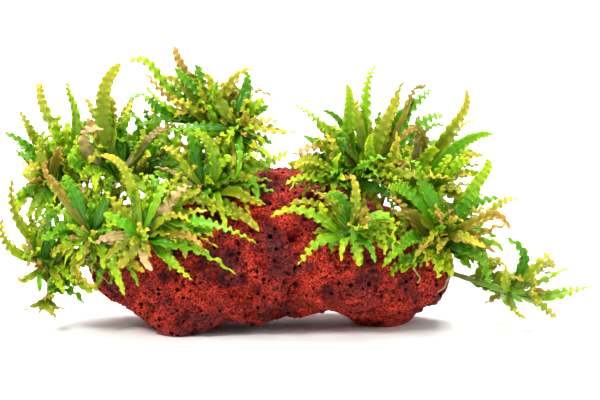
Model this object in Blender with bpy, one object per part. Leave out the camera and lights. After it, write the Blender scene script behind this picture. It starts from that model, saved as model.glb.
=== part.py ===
"""Downoi, a small water plant with crimped leaves, growing in two clumps on one lava stone.

The lists are in millimetres and the meshes in metres. X runs along the stone, Y away from
the viewer and Z up. The stone stands on Z = 0.
"""
import math
from typing import NamedTuple

import bmesh
import bpy
import numpy as np
from mathutils import Vector
from mathutils.bvhtree import BVHTree

MM = 0.001
GAP = 0.35                      # clear space between neighbouring pieces
VIEW_TILT = math.radians(8)     # the lists give heights as seen from this far above level
SEED = 41
FOOTPRINT_MIDDLE = (-0.58, 0.07, 0.0)     # in the lists' numbers; it becomes the origin

STONE_CENTRE = np.array((-15.0, 0.0, 36.0))
STONE_OUTLINE = (               # front outline of the stone, x and z, anticlockwise from the right end
    (86, 19), (84, 32), (70, 45), (50, 56), (28, 68), (4, 76), (-8, 78), (-24, 76), (-50, 70),
    (-78, 61), (-98, 51), (-106, 39), (-102, 26), (-90, 17), (-76, 4), (-44, 2), (-30, 9),
    (-8, 8), (16, 8), (34, 6), (54, 7), (74, 12),
)
STONE_HALF_DEPTH = 43.0
STONE_SQUARENESS = 2.4
STONE_CUTS = 15
FEET = ((-60, -30), (-52, 22), (44, 6), (48, 24))     # where the stone touches down, x and y
FOOT_RADIUS = 13.0
FOOT_DROP = 12.0
ARCH_X, ARCH_HALF_WIDTH, ARCH_HEIGHT = 14.0, 9.0, 3.5
LUMPS = 34
LUMP_HEIGHT = (-4.5, 5.0)
LUMP_SPREAD = (0.16, 0.42)
BIG_PORES = (                   # the large pores of the front face, x and height as seen
    (-51, 23), (-42, 27), (-37, 18), (-56, 13), (-29, 15), (-50, 6), (-25, 28), (-9, 35),
    (-16, 35), (-12, 9), (23, 22), (45, 23), (40, 23), (12, 15), (-5, 11), (28, 14), (59, 14),
    (-72, 12), (-80, 20), (2, 24), (-33, 6), (50, 10), (-20, 20), (8, 30), (-2, 46), (-22, 50),
)
PORE_RISE = 4.0                 # the front face stands nearer, so its spots show lower than they are
PORE_RADIUS = 3.0
PORE_DEPTH = 3.4
OTHER_PORES = 60
CRAGS = (                       # size of the broken crags and how far each size stands out
    (21.0, 3.2), (10.5, 2.0),
)

STALK_SIDES = 6
STALK_ROWS = 4
STALK_RADIUS = 2.0
STALK_SWELL = 0.5
LEAF_ZONE = 13.0                # length of stalk that carries leaves
OUTER_LEVELS = (0.0, 0.6)       # stretch of the leafy zone that each kind of leaf grows from
INNER_LEVELS = (0.1, 1.0)
LEAF_THICKNESS = 1.1
TOUCHING_COST = 1.2             # how far off a free face may be, to keep clear of a used one
FACES_TRIED = 7
LEAST_OUTWARD = 0.45            # how squarely a grown leaf has to leave its face of the stalk
LEAST_OFF = 0.15                # how far the first rings of a grown leaf stay in front of its face
LEAST_AGREEMENT = 0.35          # how far neighbouring rings of a grown leaf may turn, as a cosine
NEAR_WHOLE = 0.99               # feet are tested a bit small, since those side by side share corners
PUSHES = sorted((step * 2.5 for step in range(-10, 11)), key=abs)
TRIES = [(shift, push) for shift in (0.0, 0.25, -0.25) for push in PUSHES]   # along the stalk, and in depth
LEAF_ROOM = 0.35                # space kept round a leaf while it is placed
OUTER_SHARES = (0.0, 0.12, 0.27, 0.42, 0.56, 0.7, 0.85, 1.0)   # where along a leaf its rings lie
INNER_SHARES = (0.0, 0.1, 0.38, 0.69, 1.0)
LEAF_ROLL = 0.35                # radians that a leaf may roll about its length
LOWEST_LEAF = 2.5
ROOT_RADIUS = 0.6
ROOT_SIDES = 5


class Leaf(NamedTuple):
    """One leaf: the points that its midrib passes and ends at (across, up), the depth that
    its tip leans away (+) or towards the viewer (-), its width and its colour."""
    via: tuple
    tip: tuple
    lean: float
    width: float
    tone: str


class Shoot(NamedTuple):
    """One shoot: the end of its stalk (across, depth, up), the bow of the stalk, its leaves that
    are pieces of their own, the small ones grown with the stalk, and how many of those face back."""
    name: str
    crown: tuple
    bow: tuple
    outer: tuple
    inner: tuple
    spare: int


TONES = {
    "green": (0.065, 0.210, 0.012),
    "lime": (0.330, 0.480, 0.020),
    "gold": (0.450, 0.330, 0.035),
    "olive": (0.210, 0.210, 0.020),
    "tan": (0.420, 0.240, 0.090),
    "brown": (0.270, 0.110, 0.022),
}

SHOOTS = (
    Shoot("left_end", (-101, -30, 45), (0, 0, 0), (
        Leaf((-108, 55), (-104, 70), 4, 6.5, "olive"),
        Leaf((-113, 47), (-123, 42), -6, 8.0, "green"),
        Leaf((-90, 32), (-84, 16), -12, 6.5, "lime"),
        Leaf((-92, 55), (-85, 63), -4, 6.0, "gold"),
    ), (
        Leaf((-108, 50), (-116, 50), 6, 5.0, "brown"),
        Leaf((-94, 50), (-87, 50), -10, 5.0, "lime"),
        Leaf((-89, 43), (-79, 45), -8, 6.0, "tan"),
        Leaf((-86, 34), (-76, 21), -16, 5.0, "green"),
        Leaf((-108, 30), (-97, 17), -4, 5.0, "gold"),
    ), 2),
    Shoot("left_front", (-75, -47, 44), (0, 0, 0), (
        Leaf((-62, 60), (-52, 71), -4, 7.0, "olive"),
        Leaf((-46, 52), (-19, 42), -10, 6.5, "green"),
        Leaf((-60, 41), (-28, 31), -12, 6.0, "green"),
        Leaf((-57, 46), (-44, 41), -14, 5.5, "brown"),
    ), (
        Leaf((-62, 33), (-50, 25), -10, 5.0, "lime"),
        Leaf((-52, 34), (-42, 24), -16, 5.0, "green"),
        Leaf((-74, 36), (-69, 29), -14, 5.0, "tan"),
        Leaf((-63, 54), (-50, 54), 2, 4.5, "gold"),
        Leaf((-84, 55), (-95, 68), 6, 5.5, "olive"),
        Leaf((-74, 58), (-72, 68), 4, 5.0, "lime"),
    ), 0),
    Shoot("left_top", (-45, -26, 68), (0, 0, 0), (
        Leaf((-22, 78), (-4, 83), 4, 7.0, "lime"),
        Leaf((-28, 71), (-12, 65), -6, 6.5, "green"),
        Leaf((-57, 84), (-67, 88), -4, 6.0, "gold"),
        Leaf((-41, 85), (-50, 98), -8, 6.0, "lime"),
    ), (
        Leaf((-28, 65), (-14, 60), -12, 5.5, "olive"),
        Leaf((-36, 80), (-20, 82), 12, 6.0, "green"),
        Leaf((-36, 84), (-23, 90), 18, 5.0, "lime"),
        Leaf((-56, 74), (-69, 80), -12, 4.5, "tan"),
        Leaf((-30, 58), (-19, 49), -18, 6.0, "tan"),
        Leaf((-54, 67), (-61, 70), -16, 4.5, "lime"),
    ), 2),
    Shoot("left_crest", (-45, -6, 104), (2, 0, 0), (
        Leaf((-53, 122), (-63, 138), -4, 6.0, "brown"),
        Leaf((-29, 114), (-10, 115), 2, 6.0, "brown"),
        Leaf((-64, 122), (-83, 135), 6, 6.0, "lime"),
        Leaf((-35, 116), (-23, 129), -8, 5.5, "gold"),
    ), (
        Leaf((-41, 112), (-38, 120), -12, 4.5, "green"),
        Leaf((-34, 102), (-25, 98), -12, 5.0, "brown"),
        Leaf((-33, 107), (-22, 103), 8, 4.5, "green"),
        Leaf((-22, 98), (-1, 93), -8, 4.5, "gold"),
        Leaf((-61, 113), (-74, 125), -6, 5.0, "brown"),
        Leaf((-62, 107), (-75, 118), -14, 5.0, "lime"),
    ), 3),
    Shoot("left_tall", (-93, -8, 86), (-2, 0, 0), (
        Leaf((-95, 108), (-87, 131), -4, 9.0, "olive"),
        Leaf((-104, 92), (-96, 100), -14, 7.0, "tan"),
    ), (
        Leaf((-74, 90), (-68, 99), -8, 5.0, "tan"),
        Leaf((-86, 106), (-77, 117), 8, 5.0, "green"),
        Leaf((-99, 100), (-109, 104), 4, 5.0, "tan"),
        Leaf((-99, 104), (-105, 114), 12, 4.0, "gold"),
        Leaf((-107, 84), (-107, 94), -12, 5.0, "lime"),
        Leaf((-98, 76), (-97, 68), -20, 5.5, "lime"),
        Leaf((-85, 80), (-76, 76), -16, 5.5, "green"),
    ), 3),
    Shoot("left_far", (-115, 4, 78), (-3, 0, 0), (
        Leaf((-125, 104), (-129, 122), -2, 5.5, "gold"),
        Leaf((-131, 88), (-146, 95), 2, 5.0, "green"),
        Leaf((-112, 104), (-116, 120), -6, 5.0, "lime"),
    ), (
        Leaf((-121, 100), (-118, 117), 8, 4.5, "brown"),
        Leaf((-129, 94), (-139, 106), -8, 5.0, "olive"),
        Leaf((-125, 79), (-136, 76), -8, 5.0, "gold"),
        Leaf((-126, 82), (-138, 82), -2, 4.0, "lime"),
        Leaf((-124, 70), (-134, 73), -16, 4.5, "gold"),
        Leaf((-126, 64), (-137, 68), 6, 5.0, "olive"),
    ), 3),
    Shoot("left_low", (-129, -10, 34), (-2, 0, -3), (
        Leaf((-138, 52), (-142, 74), -2, 5.5, "gold"),
        Leaf((-143, 39), (-147, 54), -8, 5.5, "gold"),
        Leaf((-121, 20), (-124, 11), -6, 6.0, "lime"),
    ), (
        Leaf((-120, 26), (-115, 22), -12, 5.0, "olive"),
        Leaf((-134, 23), (-139, 25), -8, 4.5, "gold"),
    ), 1),
    Shoot("left_back", (-76, 26, 84), (0, 2, 0), (
        Leaf((-80, 84), (-98, 96), 10, 7.0, "green"),
    ), (
        Leaf((-62, 92), (-54, 106), 8, 6.5, "lime"),
        Leaf((-84, 74), (-102, 70), 8, 6.0, "olive"),
        Leaf((-60, 80), (-46, 84), 10, 6.0, "green"),
    ), 7),
    Shoot("right_front", (28, -47, 49), (0, 0, 0), (
        Leaf((7, 56), (-13, 56), -4, 6.0, "green"),
        Leaf((11, 42), (2, 31), -10, 6.0, "lime"),
    ), (
        Leaf((14, 60), (-3, 61), 4, 5.0, "olive"),
        Leaf((23, 42), (21, 34), -14, 4.5, "lime"),
        Leaf((34, 41), (37, 32), -8, 5.0, "green"),
        Leaf((29, 64), (26, 75), -4, 5.5, "gold"),
        Leaf((22, 63), (14, 66), -12, 6.0, "green"),
    ), 0),
    Shoot("right_top", (36, -16, 76), (0, 0, 0), (
        Leaf((14, 97), (-3, 109), -4, 6.5, "green"),
        Leaf((26, 103), (26, 119), -10, 6.5, "olive"),
        Leaf((34, 108), (39, 129), 0, 6.0, "lime"),
        Leaf((52, 104), (69, 117), 2, 6.5, "green"),
        Leaf((32, 62), (38, 47), -22, 7.0, "gold"),
    ), (
        Leaf((17, 87), (-2, 86), -10, 6.5, "gold"),
        Leaf((24, 97), (13, 107), 6, 5.0, "green"),
        Leaf((42, 96), (49, 111), -8, 5.5, "brown"),
        Leaf((47, 84), (48, 94), -14, 6.0, "gold"),
        Leaf((36, 86), (36, 96), -20, 6.5, "lime"),
        Leaf((12, 90), (-4, 92), 6, 5.0, "green"),
        Leaf((13, 80), (-3, 77), -12, 6.0, "olive"),
        Leaf((10, 74), (-3, 71), -18, 6.0, "lime"),
        Leaf((46, 100), (51, 122), 10, 4.5, "olive"),
    ), 2),
    Shoot("right_crest", (64, -4, 68), (2, 0, 0), (
        Leaf((62, 80), (68, 90), -16, 7.0, "lime"),
        Leaf((79, 88), (96, 95), -4, 6.5, "green"),
        Leaf((77, 98), (87, 115), 2, 6.0, "tan"),
    ), (
        Leaf((54, 70), (45, 69), -18, 6.0, "lime"),
        Leaf((78, 92), (88, 105), 10, 4.5, "gold"),
        Leaf((79, 81), (93, 85), -12, 5.5, "gold"),
        Leaf((60, 90), (60, 104), 4, 5.0, "tan"),
        Leaf((55, 78), (50, 82), -12, 5.5, "brown"),
    ), 3),
    Shoot("right_end", (73, -22, 45), (0, 0, 0), (
        Leaf((88, 66), (97, 82), 0, 8.0, "lime"),
        Leaf((86, 36), (95, 21), -8, 7.5, "green"),
        Leaf((54, 43), (42, 30), -26, 7.5, "green"),
        Leaf((54, 56), (47, 64), -22, 7.0, "brown"),
    ), (
        Leaf((79, 64), (83, 80), -10, 7.0, "olive"),
        Leaf((90, 54), (105, 51), -6, 6.0, "gold"),
        Leaf((96, 56), (109, 64), 6, 5.0, "gold"),
        Leaf((70, 34), (69, 25), -20, 7.0, "lime"),
        Leaf((82, 44), (90, 39), -14, 5.0, "gold"),
        Leaf((70, 52), (69, 60), -16, 5.0, "gold"),
        Leaf((90, 43), (104, 39), 4, 5.0, "lime"),
    ), 2),
    Shoot("right_trailing", (114, -20, 17), (0, 0, -2), (
        Leaf((131, 15), (147, 22), 2, 6.0, "lime"),
        Leaf((113, 34), (104, 43), -2, 6.0, "green"),
    ), (
        Leaf((121, 9), (131, 4), -8, 6.0, "gold"),
        Leaf((119, 30), (126, 36), -6, 5.5, "gold"),
        Leaf((125, 23), (135, 30), 4, 5.0, "lime"),
        Leaf((106, 9), (112, 5), -14, 5.0, "olive"),
        Leaf((103, 23), (103, 32), -10, 5.0, "gold"),
    ), 2),
    Shoot("right_back", (50, 24, 80), (0, 2, 0), (
        Leaf((56, 84), (74, 94), 10, 7.0, "green"),
    ), (
        Leaf((30, 90), (18, 102), 8, 6.5, "lime"),
        Leaf((28, 76), (10, 78), 10, 6.0, "olive"),
        Leaf((60, 70), (80, 66), 6, 6.0, "green"),
    ), 7),
)

ROOTS = (                       # each root runs between two points (across, depth, up) on the stone
    ("left_root", (-107, -10, 32), (-96, -26, 18)),
    ("right_root", (60, -34, 38), (62, -34, 22)),
    ("end_root", (82, -14, 24), (78, -26, 10)),
)


def clear_scene():
    """Remove every object of the scene."""
    for thing in list(bpy.data.objects):
        bpy.data.objects.remove(thing, do_unlink=True)


def finish(name, bm, colour, roughness, smooth_angle=50):
    """Turn a body in millimetres into a named object in metres with its own material."""
    mesh = bpy.data.meshes.new(name)
    bm.to_mesh(mesh)
    bm.free()
    spots = np.empty(len(mesh.vertices) * 3)
    mesh.vertices.foreach_get("co", spots)
    spots = (spots.reshape(-1, 3) - FOOTPRINT_MIDDLE) * MM
    mesh.vertices.foreach_set("co", spots.ravel())
    mesh.update()
    mesh.shade_smooth()
    mesh.set_sharp_from_angle(angle=math.radians(smooth_angle))
    material = bpy.data.materials.new(name)
    material.use_nodes = True
    shader = material.node_tree.nodes["Principled BSDF"]
    shader.inputs["Base Color"].default_value = (*colour, 1.0)
    shader.inputs["Roughness"].default_value = roughness
    shader.inputs["Metallic"].default_value = 0.0
    mesh.materials.append(material)
    bpy.context.scene.collection.objects.link(bpy.data.objects.new(name, mesh))


def place(across, depth, up):
    """The point that shows at across and up, seen from the front and a little above."""
    return np.array((across, depth, (up - depth * math.sin(VIEW_TILT)) / math.cos(VIEW_TILT)))


def ease(value):
    """0 below 0, 1 above 1, and a smooth step between."""
    value = np.clip(value, 0.0, 1.0)
    return value * value * (3 - 2 * value)


def unit(vectors):
    """The vectors, each brought to length 1."""
    return vectors / np.linalg.norm(vectors, axis=-1, keepdims=True)


def outline_radius(angles):
    """Distance from the centre to the rounded front outline, at each angle round the Y axis."""
    corners = np.array(STONE_OUTLINE, float) - STONE_CENTRE[[0, 2]]
    corner_angles = np.arctan2(corners[:, 1], corners[:, 0])
    order = np.argsort(corner_angles)
    count = 96
    even = np.linspace(-math.pi, math.pi, count, endpoint=False)
    radius = np.interp(even, corner_angles[order], np.hypot(*corners.T)[order], period=2 * math.pi)
    radius = sum(np.roll(radius, shift) for shift in range(-3, 4)) / 7
    return np.interp(angles, even, radius, period=2 * math.pi)


def scatter(rng, count):
    """Random unit directions."""
    return unit(rng.normal(size=(count, 3)))


def rounded_box(directions):
    """Radius of the plain stone: a rounded box of the front outline and the depth."""
    in_plane = np.hypot(directions[:, 0], directions[:, 2])
    flat = outline_radius(np.arctan2(directions[:, 2], directions[:, 0]))
    power = STONE_SQUARENESS
    return ((in_plane / flat) ** power
            + (np.abs(directions[:, 1]) / STONE_HALF_DEPTH) ** power) ** (-1 / power)


def lumpy_radius(directions):
    """The plain radius plus broad lumps, each of which fades with the angle from its middle."""
    rng = np.random.default_rng(SEED)
    ways, heights = scatter(rng, LUMPS), rng.uniform(*LUMP_HEIGHT, LUMPS)
    spreads = rng.uniform(*LUMP_SPREAD, LUMPS)
    return rounded_box(directions) + np.exp((directions @ ways.T - 1) / spreads ** 2) @ heights


def pore_ways():
    """Directions of the big pores: those of the front face, and others scattered all round."""
    rng = np.random.default_rng(SEED + 1)
    across, up = np.array(BIG_PORES, float).T
    x, z = across - STONE_CENTRE[0], up + PORE_RISE - STONE_CENTRE[2]
    flat = outline_radius(np.arctan2(z, x))
    power = STONE_SQUARENESS
    depth = STONE_HALF_DEPTH * np.maximum(0.0, 1 - (np.hypot(x, z) / flat) ** power) ** (1 / power)
    front = unit(np.stack((x, -depth, z), axis=1))
    others = unit(scatter(rng, OTHER_PORES) * (90.0, 42.0, 40.0) + (0.0, 25.0, 0.0))
    return np.vstack((front, others))


def chance(cells, salt):
    """A repeatable number from 0 to 1 for each cell: its three whole numbers, each times a large
    prime, are mixed with one another and shuffled."""
    mixed = (cells[..., 0] * 73856093) ^ (cells[..., 1] * 19349663) ^ (cells[..., 2] * 83492791)
    mixed = (mixed ^ (salt * 40503)) & 0xffffffff
    for shift, factor in ((15, 0x2c1b3c6d), (12, 0x297a2d39)):
        mixed = ((mixed ^ (mixed >> shift)) * factor) & 0xffffffff
    return ((mixed ^ (mixed >> 15)) & 0xffffff) / float(1 << 24)


def grain(points, size, salt):
    """A smooth random height from -1 to 1: the chance numbers at the eight corners of the point's
    cell, blended by the eased distance to each."""
    spot = points / size
    cell = np.floor(spot).astype(np.int64)
    share = ease(spot - cell)
    total = np.zeros(len(points))
    for corner in np.ndindex(2, 2, 2):
        total += np.prod(np.where(corner, share, 1 - share), axis=1) * chance(cell + corner, salt)
    return 2 * total - 1


def stone_surface(directions):
    """Points of the stone's surface that lie in the given directions from its centre.

    Each big pore is a round dent in the lumpy surface, and crags, 1 - 2 |h| of a smooth random
    height h, stand out all over. The underside is drawn down to its feet, lifted over the arch
    and cut flat at Z = 0.
    """
    points = STONE_CENTRE + lumpy_radius(directions)[:, None] * directions
    ways = pore_ways()
    spots = STONE_CENTRE + lumpy_radius(ways)[:, None] * ways
    away = np.linalg.norm(points[:, None] - spots, axis=2)
    dent = PORE_DEPTH * np.exp(-(away / PORE_RADIUS) ** 2).max(axis=1)
    x, y, z = points.T
    crags = sum(height * (0.5 - 2 * np.abs(grain(points, size, 10 + number)))
                for number, (size, height) in enumerate(CRAGS))
    points -= directions * (dent - crags)[:, None]
    under = ease(-2.5 * directions[:, 2])
    feet = sum(np.exp(-((x - foot_x) ** 2 + (y - foot_y) ** 2) / FOOT_RADIUS ** 2)
               for foot_x, foot_y in FEET)
    arch = ARCH_HEIGHT * np.exp(-((x - ARCH_X) / ARCH_HALF_WIDTH) ** 2)
    points[:, 2] += under * (arch - FOOT_DROP * feet)
    points[:, 2] = np.maximum(points[:, 2], 0.0)
    return points


def make_stone():
    """The lava stone: a cube grid blown up to a ball and drawn out to the stone's surface."""
    bm = bmesh.new()
    bmesh.ops.create_cube(bm, size=2.0)
    bmesh.ops.subdivide_edges(bm, edges=bm.edges[:], cuts=STONE_CUTS, use_grid_fill=True)
    cube = np.array([corner.co for corner in bm.verts])
    directions = unit(np.tan(cube * math.pi / 4) * np.array((1.35, 1.0, 1.0)))
    for corner, spot in zip(bm.verts, stone_surface(directions)):
        corner.co = spot
    return bm


def along_curve(start, via, end, shares):
    """Points on the parabola that leaves start, passes via halfway and stops at end."""
    control = 2 * via - (start + end) / 2
    share = np.asarray(shares)[:, None]
    return (1 - share) ** 2 * start + 2 * share * (1 - share) * control + share ** 2 * end


def headings(centres):
    """Unit directions of travel along a row of points."""
    return unit(np.gradient(centres, axis=0))


def leaf_rings(start, via, tip, width, face, shares, spare=0.0):
    """Four-cornered rings along a leaf: one margin, the keel, the other margin, the midrib.

    The leaf is narrow at its foot, widest before the middle and tapers to its tip. Past a
    third of its length the margins rise and fall in turn, one side against the other.
    """
    share = np.array(shares)
    centres = along_curve(start, via, tip, share)
    along = headings(centres)
    normal = unit(face - (along @ face)[:, None] * along)
    across = np.cross(along, normal)
    half = width / 2 * (0.28 + 0.72 * ease((share - 0.07) / 0.3)) * (1 - share ** 3.6)
    room = spare * (0.4 + 0.6 * ease(share / 0.15))
    half = np.maximum(half, 0.3) + room
    thick = LEAF_THICKNESS / 2 * (1.0 - 0.5 * share) + room
    turn = np.where(np.arange(len(share)) % 2, 1.0, -1.0)
    wave = 0.2 * width * ease((share - 0.25) / 0.3) * (1 - share ** 4) * turn
    side, rise = across * half[:, None], normal * thick[:, None]
    lift = normal * wave[:, None]
    return np.stack((centres + side + lift, centres - rise,
                     centres - side - lift, centres + rise), axis=1)


def tube_rings(centres, radii, sides):
    """Round rings of the given radii across a row of points, all turned the same way."""
    along = headings(centres)
    level = np.zeros(3)
    level[np.argmin(np.abs(centres[-1] - centres[0]))] = 1.0
    across = unit(np.cross(level, along))
    normal = np.cross(along, across)
    turns = np.arange(sides) * 2 * math.pi / sides
    ring = np.cos(turns)[None, :, None] * across[:, None] + np.sin(turns)[None, :, None] * normal[:, None]
    return centres[:, None] + ring * np.asarray(radii)[:, None, None]


def skin(rows, sides):
    """Faces between rings of corners, as corner indices.

    A leaf's ring has four corners, and every diagonal of its skin leaves a margin, so that
    its thin upper and lower sides bend alike and never meet. Round tubes keep whole quads.
    """
    faces = []
    for row in range(rows - 1):
        for side in range(sides):
            a, b = row * sides + side, row * sides + (side + 1) % sides
            c, d = b + sides, a + sides
            if sides != 4:
                faces.append((a, b, c, d))
            elif side % 2:
                faces += [(a, b, d), (b, c, d)]
            else:
                faces += [(a, b, c), (a, c, d)]
    return faces


def loft(rings):
    """Corner points and faces of a closed body that joins the rings in order."""
    rows, sides = rings.shape[:2]
    faces = skin(rows, sides)
    faces.append(tuple(range(sides - 1, -1, -1)))
    faces.append(tuple(range((rows - 1) * sides, rows * sides)))
    return rings.reshape(-1, 3), faces


def solid(rings):
    """A bmesh of the closed body that joins the rings."""
    points, faces = loft(rings)
    bm = bmesh.new()
    corners = [bm.verts.new(point) for point in points]
    for face in faces:
        bm.faces.new([corners[index] for index in face])
    bmesh.ops.recalc_face_normals(bm, faces=bm.faces[:])
    bm.faces.ensure_lookup_table()
    return bm


def tree_of(rings):
    """A search tree of the closed body that joins the rings."""
    points, faces = loft(rings)
    return BVHTree.FromPolygons([tuple(point) for point in points], faces)


def spare_leaves(shoot, rng):
    """Small leaves for the side of a shoot that faces away from the viewer."""
    for number in range(shoot.spare):
        turn = math.radians(25 + 130 * (number + rng.uniform(0.3, 0.7)) / shoot.spare)
        reach = rng.uniform(22, 34)
        rise = rng.uniform(-8, 20)
        x, depth, up = shoot.crown
        lean = reach * math.sin(turn)
        tip = (x + reach * math.cos(turn), up + rise + lean * math.sin(VIEW_TILT))
        via = (x + 0.5 * reach * math.cos(turn), up + 0.5 * rise + 6)
        tone = ("green", "lime", "olive", "gold")[int(rng.integers(4))]
        yield Leaf(via, tip, lean, rng.uniform(5.0, 7.0), tone)


def stalk_centres(shoot, stone_tree):
    """The middle line of a stalk, from just above the stone to the crown."""
    crown = place(*shoot.crown)
    foot, out, _, _ = stone_tree.find_nearest(tuple(crown))
    foot = np.array(foot) + np.array(out) * (GAP + 0.5)
    via = (foot + crown) / 2 + np.array(shoot.bow, float)
    length = np.linalg.norm(crown - foot)
    zone = min(LEAF_ZONE / length, 0.85)
    shares = np.concatenate(((0.0,), np.linspace(1 - zone, 1.0, STALK_ROWS + 1)))
    return along_curve(foot, via, crown, shares)


def stalk_rings(centres):
    """Rings of a stalk that swells where it carries leaves and rounds off at its top."""
    radii = STALK_RADIUS + STALK_SWELL * np.array([-1.6, 0.6] + [1.0] * (STALK_ROWS - 1) + [-1.5])
    return tube_rings(centres, radii, STALK_SIDES)


def stalk_faces(rings):
    """The four-cornered side faces of a stalk's leafy rows, with their index in the stalk's body."""
    rows = range(1, STALK_ROWS + 1)
    following = [(side + 1) % STALK_SIDES for side in range(STALK_SIDES)]
    return {row * STALK_SIDES + side: np.array((rings[row, side], rings[row, following[side]],
                                                rings[row + 1, following[side]], rings[row + 1, side]))
            for row in rows for side in range(STALK_SIDES)}


def free_faces(faces, spot, used):
    """Indices of the unused side faces near a spot, those that touch a used face last."""
    def crowding(index):
        row, side = divmod(index, STALK_SIDES)
        touching = [other for other in used if abs(other // STALK_SIDES - row) < 2
                    and (other - side) % STALK_SIDES in (0, 1, STALK_SIDES - 1)]
        return np.linalg.norm(faces[index].mean(axis=0) - spot) + TOUCHING_COST * len(touching)
    return sorted((index for index in faces if index not in used), key=crowding)[:FACES_TRIED]


def body_of(rings, quad, share):
    """The rings of a grown leaf, with its foot set on the stalk's side face, drawn in by a share."""
    body = rings.copy()
    middle = quad.mean(axis=0)
    body[0] = middle + share * (turned_to(quad, rings[1]) - middle)
    return body


def settle(shoot, stalk, leaf, level, shares, faces, used, blocks, own_stalk, grown, roll):
    """Rings of one leaf, leaned back or forward until it clears every block in place.

    A leaf that is grown with the stalk starts on one of the stalk's side faces. Any other
    starts a hair's breadth off the stalk.
    """
    zone = stalk[1:-1]
    axis = unit(zone[-1] - zone[0])
    for shift, push in TRIES:
        place_on = min(max(level + shift, 0.0), 1.0) * (len(zone) - 1)
        row = min(int(place_on), len(zone) - 2)
        axis_point = zone[row] + (zone[row + 1] - zone[row]) * (place_on - row)
        lean = leaf.lean + push
        tip = place(leaf.tip[0], shoot.crown[1] + lean, leaf.tip[1])
        via = place(leaf.via[0], shoot.crown[1] + 0.45 * lean, leaf.via[1])
        if min(tip[2], via[2]) < LOWEST_LEAF:
            continue
        out = via - axis_point
        out = unit(out - (out @ axis) * axis * 0.8)
        toward = -1.0 if lean < 14 else 1.0
        face = unit(np.array((math.sin(roll), toward * 0.8, 0.62)))
        spot = axis_point + out * (STALK_RADIUS + STALK_SWELL + GAP + 0.6)
        if not faces:
            rings = leaf_rings(spot, via, tip, leaf.width, face, shares)
            test = tree_of(leaf_rings(spot, via, tip, leaf.width, face, shares, spare=LEAF_ROOM))
            if not any(test.overlap(block) for block in blocks):
                return rings, None
            continue
        for foot in free_faces(faces, spot, used):
            start = faces[foot].mean(axis=0)
            looks = unit(np.cross(faces[foot][1] - faces[foot][0], faces[foot][3] - faces[foot][0]))
            rings = leaf_rings(start, via, tip, leaf.width, face, shares)
            sides = unit(rings[1:, 0] - rings[1:, 2])
            if (looks @ unit(rings[1].mean(axis=0) - start) < LEAST_OUTWARD
                    or ((rings[1:3] - start) @ looks).min() < LEAST_OFF
                    or np.sum(sides[1:] * sides[:-1], axis=1).min() < LEAST_AGREEMENT):
                continue
            wide = leaf_rings(start, via, tip, leaf.width, face, shares, spare=LEAF_ROOM)
            full = tree_of(body_of(wide, faces[foot], 1.0))
            drawn_in = [tree_of(body_of(body, faces[foot], NEAR_WHOLE)) for body in (wide, rings)]
            if (not tree_of(rings[1:]).overlap(own_stalk)
                    and not any(full.overlap(block) for block in blocks)
                    and not any(body.overlap(block) for block in grown for body in drawn_in)):
                return rings, foot
    return None, None


def turned_to(ring, target):
    """The ring, with the corner order turned to lie nearest the corners of the target."""
    turns = [np.roll(ring, shift, axis=0) for shift in range(len(ring))]
    return min(turns, key=lambda turned: np.linalg.norm(turned - target, axis=1).sum())


def grow_leaf(bm, face, rings):
    """Open one face of the stalk and carry its corners on, ring by ring, into a leaf."""
    middle = turned_to(np.array([corner.co for corner in face.verts]), rings[1])
    foot = [min(face.verts, key=lambda corner: (corner.co - Vector(spot)).length) for spot in middle]
    bm.faces.remove(face)
    corners = foot + [bm.verts.new(spot) for spot in rings[1:].reshape(-1, 3)]
    for triangle in skin(len(rings), 4):
        bm.faces.new([corners[index] for index in triangle])
    bm.faces.new(corners[-4:])


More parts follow.
